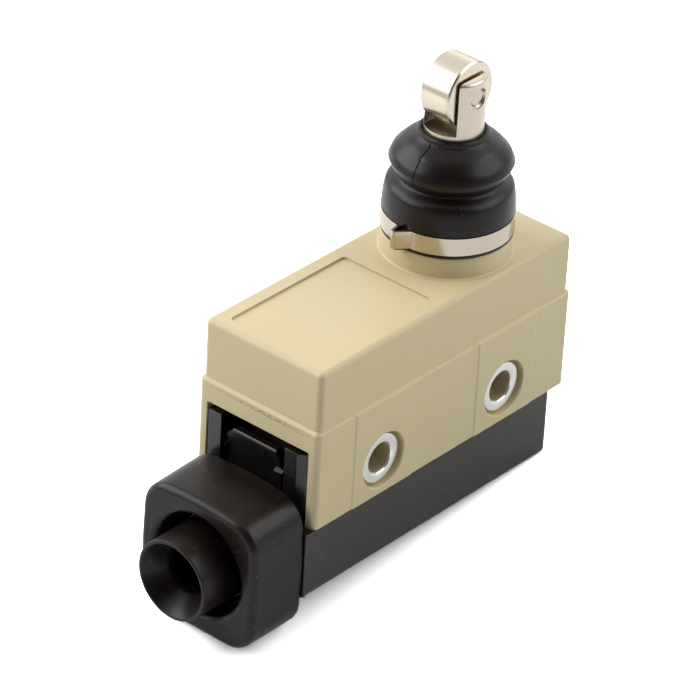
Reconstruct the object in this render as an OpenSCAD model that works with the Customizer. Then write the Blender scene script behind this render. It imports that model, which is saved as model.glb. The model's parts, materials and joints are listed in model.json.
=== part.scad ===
// Enclosed switch with a sealed roller plunger.
// The origin is midway between the two mounting holes, on their axis and at mid width.
// +X points to the plunger end, -X to the cable end, +Z up along the plunger.

/* [Mounting holes] */
// Distance between the two mounting holes
hole_pitch = 25.4; // [25:0.1:26]
// Bore radius of each steel eyelet
eyelet_bore_r = 2.2; // [2.1:0.05:2.3]
// Wall of the eyelet's tube
eyelet_wall = 0.55; // [0.45:0.05:0.65]
// Radius of the eyelet's flange
eyelet_flange_r = 3.7; // [3.5:0.1:4]
// Thickness of the eyelet's flange
eyelet_flange_t = 0.5; // [0.4:0.05:0.6]
// Depth of the eyelet's flange under the side of the case
eyelet_sink = 0.6; // [0.4:0.05:0.7]
// Rolled radius at the mouth of the eyelet
eyelet_roll_r = 0.4; // [0.2:0.05:0.45]
// Radius of the counterbore round the eyelet
counterbore_r = 4.15; // [4.1:0.05:4.6]

/* [Case] */
// Length of the case
case_l = 52.9; // [52.5:0.1:55]
// Distance from the origin to the front of the case
case_front = 26.4; // [26.2:0.1:27]
// Width of the case
case_w = 21.5; // [21:0.1:23]
// Depth of the case below the hole axis
case_below = 5.1; // [4.8:0.1:5.5]
// Height of the ledge above the hole axis
ledge_up = 10; // [8.5:0.1:12]
// Height of the top face above the hole axis
case_top = 18.9; // [18.5:0.1:20.5]
// Step in of the upper block at the ledge
ledge_step = 0.4; // [0.3:0.05:0.7]
// Radius of the upright edges
corner_r = 0.9; // [0.5:0.1:1.3]
// Radius of the top edges
top_edge_r = 0.9; // [0.4:0.1:1.3]
// Radius of the ledge's edge
ledge_edge_r = 0.35; // [0.2:0.05:0.5]
// Thickness of the side walls
side_wall = 1.95; // [1.8:0.05:2.2]
// Thickness of the front wall
front_wall = 1.8; // [1.6:0.1:2.2]
// Thickness of the top wall
top_wall = 1.9; // [1.5:0.1:2.4]
// Width of the shallow pad round each hole
pad_w = 12; // [10:0.1:13]
// Depth of the pads
pad_depth = 0.15; // [0.05:0.05:0.25]
// Length of the label recess
label_l = 23.1; // [18:0.1:24]
// Width of the label recess
label_w = 15.6; // [12:0.1:17]
// Distance of the label recess from the front of the upper block
label_margin = 2; // [1.6:0.1:3]
// Depth of the label recess
label_depth = 0.3; // [0.1:0.05:0.5]
// Width of the window in the front wall
window_w = 17.9; // [17:0.1:18.5]
// Height of the window's top above the hole axis
window_top = 6.5; // [6:0.1:8]

/* [Turret and guide] */
// Distance of the plunger's axis from the origin
plunger_x = 11.2; // [10.8:0.1:11.8]
// Radius of the turret on the case
turret_r = 9; // [8.8:0.1:9.4]
// Height of the turret above the top face
turret_h = 3.2; // [2.5:0.1:4]
// Radius of the spigot that the boot is clamped on
spigot_r = 7.8; // [7.5:0.1:8]
// Height of the spigot above the turret
spigot_h = 3.7; // [3.4:0.1:4.2]
// Outer radius of the guide bush
guide_r = 6; // [5.8:0.1:6.3]
// Radius of the guide's flange
guide_flange_r = 7.2; // [6.8:0.1:7.4]
// Thickness of the guide's flange
guide_flange_t = 1.2; // [0.8:0.1:1.6]

/* [Plunger and roller] */
// Radius of the plunger
plunger_r = 4.1; // [4:0.05:4.2]
// Radius of the stop head at the plunger's lower end
head_r = 4.95; // [4.8:0.05:5.1]
// Height of the stop head
head_h = 1.5; // [1.2:0.1:1.8]
// Travel of the plunger
plunger_travel = 4; // [3:0.1:4.2]
// Height of the roller's axis above the turret
roller_rise = 21.2; // [20.8:0.1:23]
// Radius of the roller
roller_r = 4.75; // [4.5:0.05:4.9]
// Width of the roller
roller_w = 5; // [4.4:0.1:5.3]
// Gap on each side of the roller
roller_side_gap = 0.35; // [0.1:0.05:0.4]
// Gap under the roller
roller_floor_gap = 0.55; // [0.4:0.05:0.9]
// Chamfer of the roller's rims
roller_chamfer = 0.25; // [0.1:0.05:0.4]
// Height of the cheeks above the roller's axis
cheek_above = 2.6; // [2.2:0.1:3]
// Rounding of the cheeks' outer top edge
cheek_edge_r = 0.8; // [0.4:0.1:1]
// Radius of the roller's pin
pin_r = 1.2; // [1:0.05:1.4]
// Depth of the pin's ends under the plunger's surface
pin_sink = 0.12; // [0.05:0.01:0.2]
// Radius of the bore for the overtravel spring
bore_r = 2.6; // [2.5:0.05:2.7]
// Length of the bore for the overtravel spring
bore_l = 11; // [10:0.1:11.5]

/* [Springs and pusher] */
// Wire radius of the return spring
return_wire_r = 0.32; // [0.25:0.01:0.35]
// Turns of the return spring
return_turns = 4; // [3:0.5:4]
// Radial gap between the return spring and the plunger
return_gap = 0.7; // [0.4:0.05:0.9]
// Thickness of the spring seat
seat_t = 0.5; // [0.4:0.05:0.6]
// Outer radius of the spring seat
seat_r = 6; // [5.8:0.1:6.2]
// Thickness of the retaining ring
ring_t = 0.6; // [0.5:0.05:0.7]
// Outer radius of the retaining ring
ring_r = 5; // [4.8:0.1:5.2]
// Depth of the ring's groove
groove_depth = 0.45; // [0.35:0.05:0.55]
// Wire radius of the overtravel spring
overtravel_wire_r = 0.28; // [0.2:0.01:0.3]
// Turns of the overtravel spring
overtravel_turns = 7; // [5:1:8]
// Radius of the pusher's pin
pusher_r = 1.5; // [1.3:0.05:1.6]
// Thickness of the pusher's flange
pusher_flange_t = 0.8; // [0.6:0.1:1]
// Radius of the pusher's spigot inside the spring
pusher_spigot_r = 1.2; // [1:0.05:1.3]
// Height of the pusher's spigot
pusher_spigot_h = 2.6; // [2:0.1:3]
// Thickness of the retainer under the pusher's flange
retainer_t = 0.65; // [0.5:0.05:0.8]

/* [Boot and clamp] */
// Distance of the boot's top lip under the plunger's slot
boot_under_slot = 0.75; // [0.5:0.05:1]
// Radius of the boot's foot
boot_foot_r = 9.05; // [8.9:0.05:9.2]
// Height of the boot's foot
boot_foot_h = 0.4; // [0.3:0.05:0.6]
// Radius of the lower fold
lower_fold_r = 9.12; // [9:0.02:9.3]
// Height of the lower fold above the turret
lower_fold_up = 4.6; // [4.4:0.1:4.8]
// Radius of the groove between the folds
fold_groove_r = 7.2; // [7:0.05:7.4]
// Distance of the groove under the boot's top
fold_groove_below = 6.75; // [6.6:0.05:6.9]
// Radius of the upper fold
upper_fold_r = 8.53; // [8.4:0.01:8.9]
// Distance of the upper fold under the boot's top
upper_fold_below = 4.35; // [4.2:0.05:4.5]
// Wall of the boot
boot_wall = 0.9; // [0.8:0.05:1]
// Wall of the lip round the plunger
lip_wall = 0.7; // [0.5:0.05:0.9]
// Height of the clamp band
clamp_h = 2.75; // [2.4:0.05:2.9]
// Thickness of the clamp band
clamp_t = 0.4; // [0.3:0.05:0.5]
// Outer radius of the clamp band
clamp_r = 9.25; // [9.1:0.05:9.4]
// Outer radius of the crimped ear
ear_r = 1.45; // [1.2:0.05:1.6]
// Direction of the crimped ear, in degrees round the plunger
ear_angle = 177; // [150:1:210]

/* [Terminal cover] */
// Depth of the cover's underside below the hole axis
cover_below = 15.45; // [15.3:0.05:17]
// Set back of the cover's rear end from the end of the case
cover_setback = 2.8; // [2.4:0.1:3.2]
// Set in of the cover's sides from the sides of the case
cover_inset = 0.2; // [0.1:0.05:0.4]
// Thickness of the cover's walls
cover_wall = 1.5; // [1.3:0.05:1.6]
// Thickness of the cover's floor
cover_floor = 1.45; // [1.3:0.05:1.6]
// Radius of the cover's lower edges
cover_edge_r = 1.1; // [0.4:0.1:1.2]
// Gap round the cover's pillars in the window
window_gap = 0.12; // [0.05:0.01:0.2]
// Height of the pillars' tops above the hole axis
pillar_top = 5.5; // [5:0.1:5.8]
// Width of the left pillar
left_pillar_w = 2.4; // [2:0.1:2.8]
// Width of the right pillar
right_pillar_w = 4; // [3.6:0.1:4.4]
// Width of the right pillar's slanted face
right_slant_w = 2; // [1.5:0.1:2.4]
// Set back of the slanted face's inner edge
right_slant_in = 0.7; // [0.4:0.1:0.9]
// Slot beside the latch tab
tab_slot = 0.65; // [0.4:0.05:0.9]
// Height of the latch tab's top above the hole axis
tab_top = 4.2; // [3.6:0.1:4.6]
// Set back of the latch tab's top edge from the front
tab_in = 0.7; // [0.4:0.05:0.8]
// Set back of the latch tab's hook from the front
hook_in = 0.1; // [0.05:0.05:0.3]
// Set back of the latch tab's stem from the front
stem_in = 0.9; // [0.7:0.05:1]
// Width of the slanted shoulders of the latch tab
tab_shoulder_w = 1.1; // [0.8:0.1:1.5]
// Height of the slanted shoulders of the latch tab
tab_shoulder_h = 1.9; // [1.4:0.1:2.2]
// Height of the small ears beside the latch tab, above the hole axis
tab_ear_up = 1.2; // [0.8:0.1:1.6]
// Height of the tongue at the cover's rear
tongue_h = 2; // [1.5:0.1:2.5]
// Width of the tongue at the cover's rear
tongue_w = 12; // [8:0.5:14]

/* [Cable seal] */
// Depth of the cable axis below the hole axis
cable_below = 10.4; // [10.2:0.05:10.5]
// Bore radius of the cover's spout
spout_bore_r = 3.6; // [3.4:0.05:3.7]
// Wall of the spout
spout_wall = 1.3; // [1.1:0.05:1.4]
// Length of the spout in front of the cover
spout_l = 6.6; // [6:0.1:7]
// Height of the rib round the spout
spout_rib_h = 2; // [1.5:0.1:2.4]
// Width of the rib round the spout
spout_rib_w = 1.3; // [1:0.1:1.6]
// Set in of the seal's sides from the sides of the case
seal_inset = 0.45; // [0.2:0.05:1]
// Corner radius of the seal
seal_corner_r = 4.5; // [3.5:0.1:5.5]
// Radius of the seal's arched top
seal_arch_r = 50; // [35:1:70]
// Gap between the case and the seal
seal_gap = 1.5; // [1.2:0.1:1.8]
// Depth of the seal's block
seal_l = 9.7; // [9:0.1:10.5]
// Bevel of the seal's front edges
seal_bevel = 0.8; // [0.5:0.1:1.2]
// Radius of the recess round the nozzle
recess_r = 7.7; // [7.2:0.1:8]
// Depth of the recess round the nozzle
recess_depth = 2.2; // [1.5:0.1:2.4]
// Radius of the nozzle at its root
nozzle_root_r = 6; // [5.6:0.1:6.4]
// Radius of the nozzle at its mouth
nozzle_mouth_r = 5.5; // [5.2:0.1:5.8]
// Length of the nozzle in front of the block
nozzle_l = 4.9; // [4.5:0.1:6]
// Rim of the nozzle's mouth
nozzle_rim = 0.45; // [0.3:0.05:0.6]
// Radius of the throat that grips the cable
throat_r = 3.3; // [3.1:0.05:3.4]
// Depth of the funnel
funnel_l = 4.5; // [3.5:0.1:5.5]

/* [Built-in switch] */
// Room in front of the built-in switch
latch_room = 2.1; // [1.8:0.1:2.4]
// Room above the built-in switch
head_room = 3.1; // [2.9:0.1:3.3]
// Length of switch base below the case
base_drop = 1.2; // [1:0.1:1.4]
// Web of the base over the eyelets
base_web = 0.7; // [0.5:0.05:0.9]
// Wall of the switch lid
lid_wall = 1.2; // [1:0.05:1.3]
// Thickness of the switch lid's roof
lid_roof = 1.6; // [1.3:0.1:1.8]
// Radius of the button
button_r = 1.55; // [1.4:0.05:1.7]
// Height of the button above the lid
button_rise = 2.4; // [2.2:0.1:2.6]
// Radius of the button's collar
button_collar_r = 2.4; // [2.2:0.1:2.6]
// Thickness of the button's collar
button_collar_t = 1.2; // [1:0.1:1.4]
// Radius of the button's tip
button_tip_r = 0.8; // [0.6:0.05:0.9]
// Depth of the blade under the lid's top
blade_below = 5.6; // [5.3:0.1:5.8]
// Thickness of the blade
blade_t = 0.35; // [0.25:0.05:0.4]
// Width of the blade
blade_w = 6; // [5:0.1:7]
// Distance of the blade's pivot behind the button
pivot_behind = 6.4; // [6.2:0.1:6.6]
// Distance of the contacts in front of the button
contact_ahead = 14.2; // [13.5:0.1:15]
// Gap of the open contacts
contact_gap = 1.15; // [1.12:0.01:1.3]
// Radius of the contact heads
contact_r = 1.6; // [1.3:0.1:1.8]
// Thickness of the contact heads
contact_t = 0.6; // [0.5:0.05:0.7]
// Radius of the contact shanks
shank_r = 0.8; // [0.6:0.05:0.9]

/* [Terminals] */
// Thickness of the terminal strips
strip_t = 0.7; // [0.6:0.05:0.8]
// Width of the terminal strips
strip_w = 6; // [5:0.1:7]
// Half length of the plate under each screw
plate_reach = 2.9; // [2.7:0.1:3.1]
// Distance from a riser to its screw
screw_offset = 2.4; // [2.3:0.05:2.5]
// Radius of the terminal screws
screw_r = 1.5; // [1.3:0.05:1.6]
// Length of the screws in the base
screw_l = 5; // [4:0.1:5.2]
// Radius of the screw heads
screw_head_r = 2.8; // [2.5:0.05:2.9]
// Height of the screw heads
screw_head_h = 1.9; // [1.6:0.1:2]
// Thickness of the washers
washer_t = 0.5; // [0.4:0.05:0.6]
// Radius of the washers
washer_r = 3; // [2.8:0.1:3.1]
// Thickness of the barrier ribs between the terminals
barrier_t = 1.2; // [0.8:0.1:1.5]
// Height of the barrier ribs
barrier_h = 2.5; // [1.5:0.1:3]

/* [Hidden] */
$fn = 64;

// Fits: a pressed or clamped seat, a running fit, a loose fit, and the overlap of cutting tools
press_gap = 0.02;
run_gap = 0.05;
loose_gap = 0.15;
cut = 1;

// Small distances: the plunger's stop, the boot's bead, the clamp's ear, the blade, the risers and the spout
stop_room = 0.9;
bead_h = 0.8;
bead_below = 0.45;
ring_below = 0.9;
coil_gap = 0.3;
ear_out = 0.1;
blade_tail = 1.7;
blade_nose = 0.6;
riser_web = 0.4;
riser_gap = 0.2;
riser_behind = 4;
rib_behind = 1.6;
tip_gap = 0.08;
touch_gap = 0.03;
contact_lap = 0.2;

// Case levels and ends
case_rear = case_l - case_front;
turret_top = case_top + turret_h;
spigot_top = turret_top + spigot_h;
guide_top = spigot_top + guide_flange_t;
cavity_top = case_top - top_wall;
cavity_w = case_w - 2 * side_wall;
cover_rear = case_rear - cover_setback;
cavity_front = -case_front + front_wall;
cavity_rear = cover_rear - cover_wall - loose_gap;
eyelet_r = eyelet_bore_r + eyelet_wall;
eyelet_hole_r = eyelet_r + run_gap;
eyelet_face = case_w / 2 - eyelet_sink;
hole_xs = [-hole_pitch / 2, hole_pitch / 2];

// Plunger levels
guide_bore_r = plunger_r + run_gap;
shoulder_z = cavity_top + stop_room + plunger_travel + head_h + run_gap;
head_top = shoulder_z - run_gap;
head_bottom = head_top - head_h;
bore_top = head_bottom + bore_l;
roller_z = turret_top + roller_rise;
cheek_top = roller_z + cheek_above;
slot_floor = roller_z - roller_r - roller_floor_gap;
slot_w = roller_w + 2 * roller_side_gap;
boot_top = slot_floor - boot_under_slot;
bead_top = boot_top - bead_below;
bead_bottom = bead_top - bead_h;
ring_top = bead_bottom - ring_below;
ring_bottom = ring_top - ring_t;
seat_bottom = ring_bottom - seat_t;
groove_r = plunger_r - groove_depth;
return_mean_r = plunger_r + return_gap + return_wire_r;

// Boot and clamp levels
band_bottom = turret_top + boot_foot_h;
band_top = band_bottom + clamp_h;
clamp_bore_r = clamp_r - clamp_t;

// Built-in switch: ends and levels
switch_front = cavity_front + latch_room;
switch_rear = cavity_rear - loose_gap;
switch_w = cavity_w - 2 * loose_gap;
switch_top = cavity_top - head_room;
switch_bottom = -case_below - base_drop;
split_z = eyelet_hole_r + base_web;
roof_z = switch_top - lid_roof;
button_top = switch_top + button_rise;
blade_z = switch_top - blade_below;
blade_top = blade_z + blade_t;
pivot_x = plunger_x + pivot_behind;
contact_x = plunger_x - contact_ahead;
blade_rear = pivot_x + blade_tail;
blade_front = contact_x - contact_r - blade_nose;

// Pusher levels
pusher_bottom = button_top + run_gap;
pusher_flange_z = head_bottom + retainer_t;
pusher_flange_top = pusher_flange_z + pusher_flange_t;
pusher_flange_r = bore_r - run_gap;
overtravel_mean_r = pusher_spigot_r + overtravel_wire_r + coil_gap;

// Terminal places and levels
plate_bottom = switch_bottom - strip_t;
washer_bottom = plate_bottom - washer_t;
head_under = washer_bottom - screw_head_h;
nc_riser = -hole_pitch / 2 - eyelet_hole_r - riser_web - strip_t;
no_riser = contact_x + contact_r + riser_behind;
com_riser = switch_rear - lid_wall - riser_gap - strip_t;
nc_screw_x = nc_riser - screw_offset;
no_screw_x = no_riser - screw_offset;
com_screw_x = com_riser - screw_offset;
nc_strip_z = blade_top + contact_t + touch_gap + contact_t;
no_strip_top = blade_z - contact_t - contact_gap - contact_t;
shelf_top = blade_z - press_gap;
barrier_xs = [-hole_pitch / 2 + eyelet_hole_r + barrier_t, hole_pitch / 2 - eyelet_hole_r - barrier_t];

// Cover and seal places
cover_w = case_w - 2 * cover_inset;
cover_top = -case_below;
cover_bottom = -cover_below;
cover_in_front = -case_front + cover_wall;
pillar_out = window_w / 2 - window_gap;
left_pillar_in = pillar_out - left_pillar_w;
right_pillar_in = -pillar_out + right_pillar_w;
tab_left = left_pillar_in - tab_slot;
tab_right = right_pillar_in + tab_slot;
spout_r = spout_bore_r + spout_wall;
spout_end = -case_front - spout_l;
rib_x = spout_end + rib_behind;
seal_side = case_w - 2 * seal_inset;
seal_rear = -case_front - seal_gap;
seal_face = seal_rear - seal_l;
nozzle_end = seal_face - nozzle_l;

// Rectangle from one corner to the other with round corners
module round_rect(x0, y0, x1, y1, r) {
    union() {
        translate([x0 + r, y0]) square([x1 - x0 - 2 * r, y1 - y0]);
        translate([x0, y0 + r]) square([x1 - x0, y1 - y0 - 2 * r]);
        for (x = [x0 + r, x1 - r], y = [y0 + r, y1 - r]) translate([x, y]) circle(r);
    }
}

// Solid box from one corner to the other
module block(x0, x1, y0, y1, z0, z1) {
    translate([x0, y0, z0]) cube([x1 - x0, y1 - y0, z1 - z0]);
}

// Outline in Y and Z, extruded from one X to another
module along_x(x0, x1) {
    rotate([90, 0, 90]) translate([0, 0, x0]) linear_extrude(x1 - x0) children();
}

// Outline in X and Z, extruded from one Y to another
module along_y(y0, y1) {
    rotate([90, 0, 0]) translate([0, 0, -y1]) linear_extrude(y1 - y0) children();
}

// Box with round upright edges and round edges on top
module soft_top_block(x0, x1, y0, y1, z0, z1, upright_r, edge_r) {
    intersection() {
        translate([0, 0, z0]) linear_extrude(z1 - z0) round_rect(x0, y0, x1, y1, upright_r);
        along_y(y0, y1) round_rect(x0, z0 - 2 * edge_r, x1, z1, edge_r);
        along_x(x0, x1) round_rect(y0, z0 - 2 * edge_r, y1, z1, edge_r);
    }
}

// Round bar along Y
module bar_y(x, z, r, y0, y1) {
    translate([x, y1, z]) rotate([90, 0, 0]) cylinder(r = r, h = y1 - y0);
}

// Round bar on the cable axis, from a place towards the cable end
module cable_bar(x, r0, r1, l) {
    translate([x, 0, -cable_below]) rotate([0, -90, 0]) cylinder(r1 = r0, r2 = r1, h = l);
}

// Ring or disc on the plunger's axis
module ring(r_out, r_in, z0, z1) {
    translate([plunger_x, 0, z0]) difference() {
        cylinder(r = r_out, h = z1 - z0);
        if (r_in > 0) translate([0, 0, -cut]) cylinder(r = r_in, h = z1 - z0 + 2 * cut);
    }
}

// Points of a smooth curve through a few chosen points
function bend(a, b, c, d, t) =
    0.5 * (2 * b + (c - a) * t + (2 * a - 5 * b + 4 * c - d) * t * t + (3 * b - a - 3 * c + d) * t * t * t);
function smooth(p, steps) = [
    for (i = [0:len(p) - 2], s = [0:steps - 1])
        bend(p[max(i - 1, 0)], p[i], p[i + 1], p[min(i + 2, len(p) - 1)], s / steps),
    p[len(p) - 1]
];
function backwards(p) = [for (i = [len(p) - 1:-1:0]) p[i]];

// Coil spring on the plunger's axis, standing between two levels
module coil(mean_r, wire_r, z0, z1, turns) {
    sides = 8;
    steps = round(18 * turns);
    low = z0 + wire_r + press_gap;
    high = z1 - wire_r - press_gap;
    points = [
        for (i = [0:steps], k = [0:sides - 1])
            let (a = 360 * turns * i / steps, b = 360 * k / sides, r = mean_r + wire_r * cos(b))
                [plunger_x + r * cos(a), r * sin(a), low + (high - low) * i / steps + wire_r * sin(b)]
    ];
    walls = [
        for (i = [0:steps - 1], k = [0:sides - 1])
            let (n = (k + 1) % sides)
                each [
                    [i * sides + k, i * sides + n, (i + 1) * sides + n],
                    [i * sides + k, (i + 1) * sides + n, (i + 1) * sides + k]
                ]
    ];
    first = [[for (k = [sides - 1:-1:0]) k]];
    last = [[for (k = [0:sides - 1]) steps * sides + k]];
    polyhedron(points, concat(walls, first, last));
}

// Beige case with its cavity, window, mounting holes and turret
module case() {
    half_w = case_w / 2;
    upper_front = -case_front + ledge_step;
    label_front = upper_front + label_margin;
    color("#d8cba4") difference() {
        union() {
            soft_top_block(-case_front, case_rear, -half_w, half_w, cover_top, ledge_up, corner_r,
                ledge_edge_r);
            soft_top_block(upper_front, case_rear - ledge_step, -half_w + ledge_step, half_w - ledge_step,
                ledge_up - ledge_edge_r - cut, case_top, corner_r, top_edge_r);
            ring(turret_r, 0, cavity_top, turret_top);
            ring(spigot_r, 0, cavity_top, spigot_top);
        }
        block(cavity_front, cavity_rear, -cavity_w / 2, cavity_w / 2, cover_top - cut, cavity_top);
        block(-case_front - cut, cavity_front + cut, -window_w / 2, window_w / 2, cover_top - cut,
            window_top);
        ring(guide_r + press_gap, 0, cavity_top - cut, spigot_top + cut);
        block(label_front, label_front + label_l, -label_w / 2, label_w / 2, case_top - label_depth,
            case_top + cut);
        block(cover_rear - cover_wall - press_gap, cover_rear + press_gap, -tongue_w / 2 - loose_gap,
            tongue_w / 2 + loose_gap, cover_top - cut, cover_top + tongue_h + loose_gap);
        for (x = hole_xs) {
            bar_y(x, 0, eyelet_hole_r, -half_w - cut, half_w + cut);
            for (s = [-1, 1]) {
                inner = eyelet_face - eyelet_flange_t - press_gap;
                y0 = s > 0 ? inner : -half_w - cut;
                bar_y(x, 0, counterbore_r, y0, y0 + half_w + cut - inner);
                p0 = s > 0 ? half_w - pad_depth : -half_w - cut;
                block(x - pad_w / 2, x + pad_w / 2, p0, p0 + pad_depth + cut, cover_top - cut,
                    ledge_up + press_gap);
            }
        }
    }
}

// Steel eyelet with a rolled flange at each end
module eyelet(x) {
    color("#c9c9cc") translate([x, 0, 0]) rotate([90, 0, 0]) rotate_extrude() difference() {
        union() {
            translate([eyelet_bore_r, -eyelet_face]) square([eyelet_wall, 2 * eyelet_face]);
            for (y = [-eyelet_face, eyelet_face - eyelet_flange_t])
                translate([eyelet_bore_r, y]) square([eyelet_flange_r - eyelet_bore_r, eyelet_flange_t]);
        }
        for (s = [-1, 1]) translate([eyelet_bore_r, s * eyelet_face]) difference() {
            square(2 * eyelet_roll_r, center = true);
            translate([eyelet_roll_r, -s * eyelet_roll_r]) circle(eyelet_roll_r);
        }
    }
}
module front_eyelet() { eyelet(hole_xs[0]); }
module rear_eyelet() { eyelet(hole_xs[1]); }

// Flanged bush that guides the plunger and stops its head
module plunger_guide() {
    color("#b9a36a") difference() {
        union() {
            ring(guide_r, 0, cavity_top, spigot_top + press_gap);
            ring(guide_flange_r, 0, spigot_top, guide_top);
        }
        ring(guide_bore_r, 0, cavity_top - cut, guide_top + cut);
        ring(head_r + run_gap, 0, cavity_top - cut, shoulder_z);
    }
}

// Rubber bellows from the turret to the plunger
module boot() {
    low = turret_top + lower_fold_up;
    groove = boot_top - fold_groove_below;
    high = boot_top - upper_fold_below;
    rise = groove - low;
    lip_r = plunger_r + lip_wall;
    seat = clamp_bore_r - press_gap;
    neck = plunger_r + press_gap;
    outer = concat(
        [[boot_foot_r, turret_top], [boot_foot_r, band_bottom], [seat, band_bottom], [seat, band_top]],
        smooth([
            [lower_fold_r, band_top + 0.1], [lower_fold_r, low], [lower_fold_r - 0.25, low + 0.53 * rise],
            [lower_fold_r - 0.7, low + 0.74 * rise], [fold_groove_r + 0.2, low + 0.91 * rise],
            [fold_groove_r, groove], [fold_groove_r + 0.4, groove + 0.4], [upper_fold_r - 0.4, high - 1.2],
            [upper_fold_r, high], [upper_fold_r - 0.7, high + 1.1], [upper_fold_r - 2.35, high + 2.7],
            [lip_r, boot_top - 0.5], [lip_r, boot_top]
        ], 5)
    );
    low_in = lower_fold_r - boot_wall;
    groove_in = fold_groove_r - boot_wall;
    high_in = upper_fold_r - boot_wall - 0.2;
    inner = concat(
        [[spigot_r + press_gap, turret_top], [spigot_r + press_gap, spigot_top + 0.3]],
        smooth([
            [low_in, low], [low_in - 0.3, low + 0.47 * rise], [groove_in + 0.3, low + 0.79 * rise],
            [groove_in, groove], [groove_in + 0.3, groove + 0.7], [high_in, high - 0.5],
            [high_in, high + 0.3], [ring_r + 0.75, ring_top], [neck, bead_bottom - 0.5]
        ], 5),
        [[neck, bead_bottom], [groove_r + press_gap, bead_bottom + press_gap],
            [groove_r + press_gap, bead_top - press_gap], [neck, bead_top], [neck, boot_top]]
    );
    color("#2b292b") translate([plunger_x, 0, 0]) rotate_extrude() polygon(concat(outer, backwards(inner)));
}

// Stainless band round the boot's foot, with one crimped ear
module boot_clamp() {
    ear_x = clamp_r + ear_out;
    color("#cfcfd2") translate([plunger_x, 0, band_bottom + press_gap]) rotate([0, 0, ear_angle])
        linear_extrude(clamp_h - press_gap) difference() {
            union() {
                circle(clamp_r);
                translate([ear_x, 0]) circle(ear_r);
            }
            circle(clamp_bore_r);
            translate([ear_x, 0]) circle(ear_r - clamp_t);
        }
}

// Stainless plunger with the roller's slot at the top and the spring's bore below
module plunger() {
    color("#d3d1cd") difference() {
        union() {
            ring(head_r, 0, head_bottom, head_top);
            translate([plunger_x, 0, 0]) rotate_extrude() difference() {
                translate([0, head_bottom]) square([plunger_r, cheek_top - head_bottom]);
                translate([plunger_r, cheek_top]) difference() {
                    square(2 * cheek_edge_r, center = true);
                    translate([-cheek_edge_r, -cheek_edge_r]) circle(cheek_edge_r);
                }
            }
        }
        block(plunger_x - plunger_r - cut, plunger_x + plunger_r + cut, -slot_w / 2, slot_w / 2, slot_floor,
            cheek_top + cut);
        bar_y(plunger_x, roller_z, pin_r + press_gap, -plunger_r - cut, plunger_r + cut);
        ring(bore_r, 0, head_bottom - cut, bore_top);
        ring(plunger_r + cut, groove_r, bead_bottom, bead_top);
        ring(plunger_r + cut, groove_r, ring_bottom - press_gap, ring_top + press_gap);
    }
}

// Steel roller with chamfered rims
module roller() {
    half_w = roller_w / 2;
    c = roller_chamfer;
    color("#dcdad6") translate([plunger_x, 0, roller_z]) rotate([90, 0, 0]) rotate_extrude() polygon([
        [pin_r + run_gap, -half_w], [roller_r - c, -half_w], [roller_r, -half_w + c],
        [roller_r, half_w - c], [roller_r - c, half_w], [pin_r + run_gap, half_w]
    ]);
}

// Staked pin with a dished end on each side
module roller_pin() {
    reach = plunger_r - pin_sink;
    dish_r = 0.6 * pin_r;
    color("#b8b6b3") difference() {
        bar_y(plunger_x, roller_z, pin_r, -reach, reach);
        for (s = [-1, 1]) translate([plunger_x, s * reach, roller_z]) rotate([90, 0, 0])
            cylinder(r1 = s > 0 ? dish_r : 0, r2 = s > 0 ? 0 : dish_r, h = dish_r, center = true);
    }
}

// Washer that the return spring pushes on
module spring_seat() {
    color("#bfbfc2") ring(seat_r, guide_bore_r, seat_bottom, ring_bottom - press_gap);
}

// Open ring in the plunger's groove
module retaining_ring() {
    color("#8d8d90") difference() {
        ring(ring_r, groove_r + press_gap, ring_bottom, ring_top);
        block(plunger_x, plunger_x + ring_r + cut, -groove_r / 2, groove_r / 2, ring_bottom - cut,
            ring_top + cut);
    }
}

module return_spring() {
    color("#a9a9ad") coil(return_mean_r, return_wire_r, guide_top, seat_bottom, return_turns);
}

module overtravel_spring() {
    color("#a9a9ad") coil(overtravel_mean_r, overtravel_wire_r, pusher_flange_top, bore_top,
        overtravel_turns);
}

// Pin that passes the plunger's stroke to the switch button
module pusher() {
    color("#c8b273") {
        ring(pusher_r, 0, pusher_bottom, pusher_flange_top);
        ring(pusher_flange_r, 0, pusher_flange_z + press_gap, pusher_flange_top);
        ring(pusher_spigot_r, 0, pusher_flange_z, pusher_flange_top + pusher_spigot_h);
    }
}

// Washer pressed into the plunger, which holds the pusher in
module pusher_retainer() {
    color("#9c9ca0") ring(bore_r - press_gap, pusher_r + run_gap, head_bottom, pusher_flange_z);
}

// Lower half of the built-in switch, which carries the terminals
module switch_base() {
    color("#3b2a22") difference() {
        union() {
            block(switch_front, switch_rear, -switch_w / 2, switch_w / 2, switch_bottom, split_z);
            for (x = barrier_xs)
                block(x - barrier_t / 2, x + barrier_t / 2, -switch_w / 2, switch_w / 2,
                    switch_bottom - barrier_h, switch_bottom);
        }
        for (x = hole_xs) bar_y(x, 0, eyelet_hole_r, -switch_w / 2 - cut, switch_w / 2 + cut);
        for (x = [nc_screw_x, no_screw_x, com_screw_x])
            translate([x, 0, switch_bottom - cut])
                cylinder(r = screw_r + press_gap, h = screw_l + press_gap + cut);
        for (x = [nc_riser, no_riser, com_riser])
            block(x - press_gap, x + strip_t + press_gap, -strip_w / 2 - press_gap, strip_w / 2 + press_gap,
                switch_bottom - cut, split_z + cut);
    }
}

// Upper half of the built-in switch, with the button's hole
module switch_lid() {
    color("#4a352b") difference() {
        block(switch_front, switch_rear, -switch_w / 2, switch_w / 2, split_z, switch_top);
        block(switch_front + lid_wall, switch_rear - lid_wall, -switch_w / 2 + lid_wall,
            switch_w / 2 - lid_wall, split_z - cut, roof_z);
        ring(button_r + run_gap, 0, roof_z - cut, switch_top + cut);
    }
}

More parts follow.
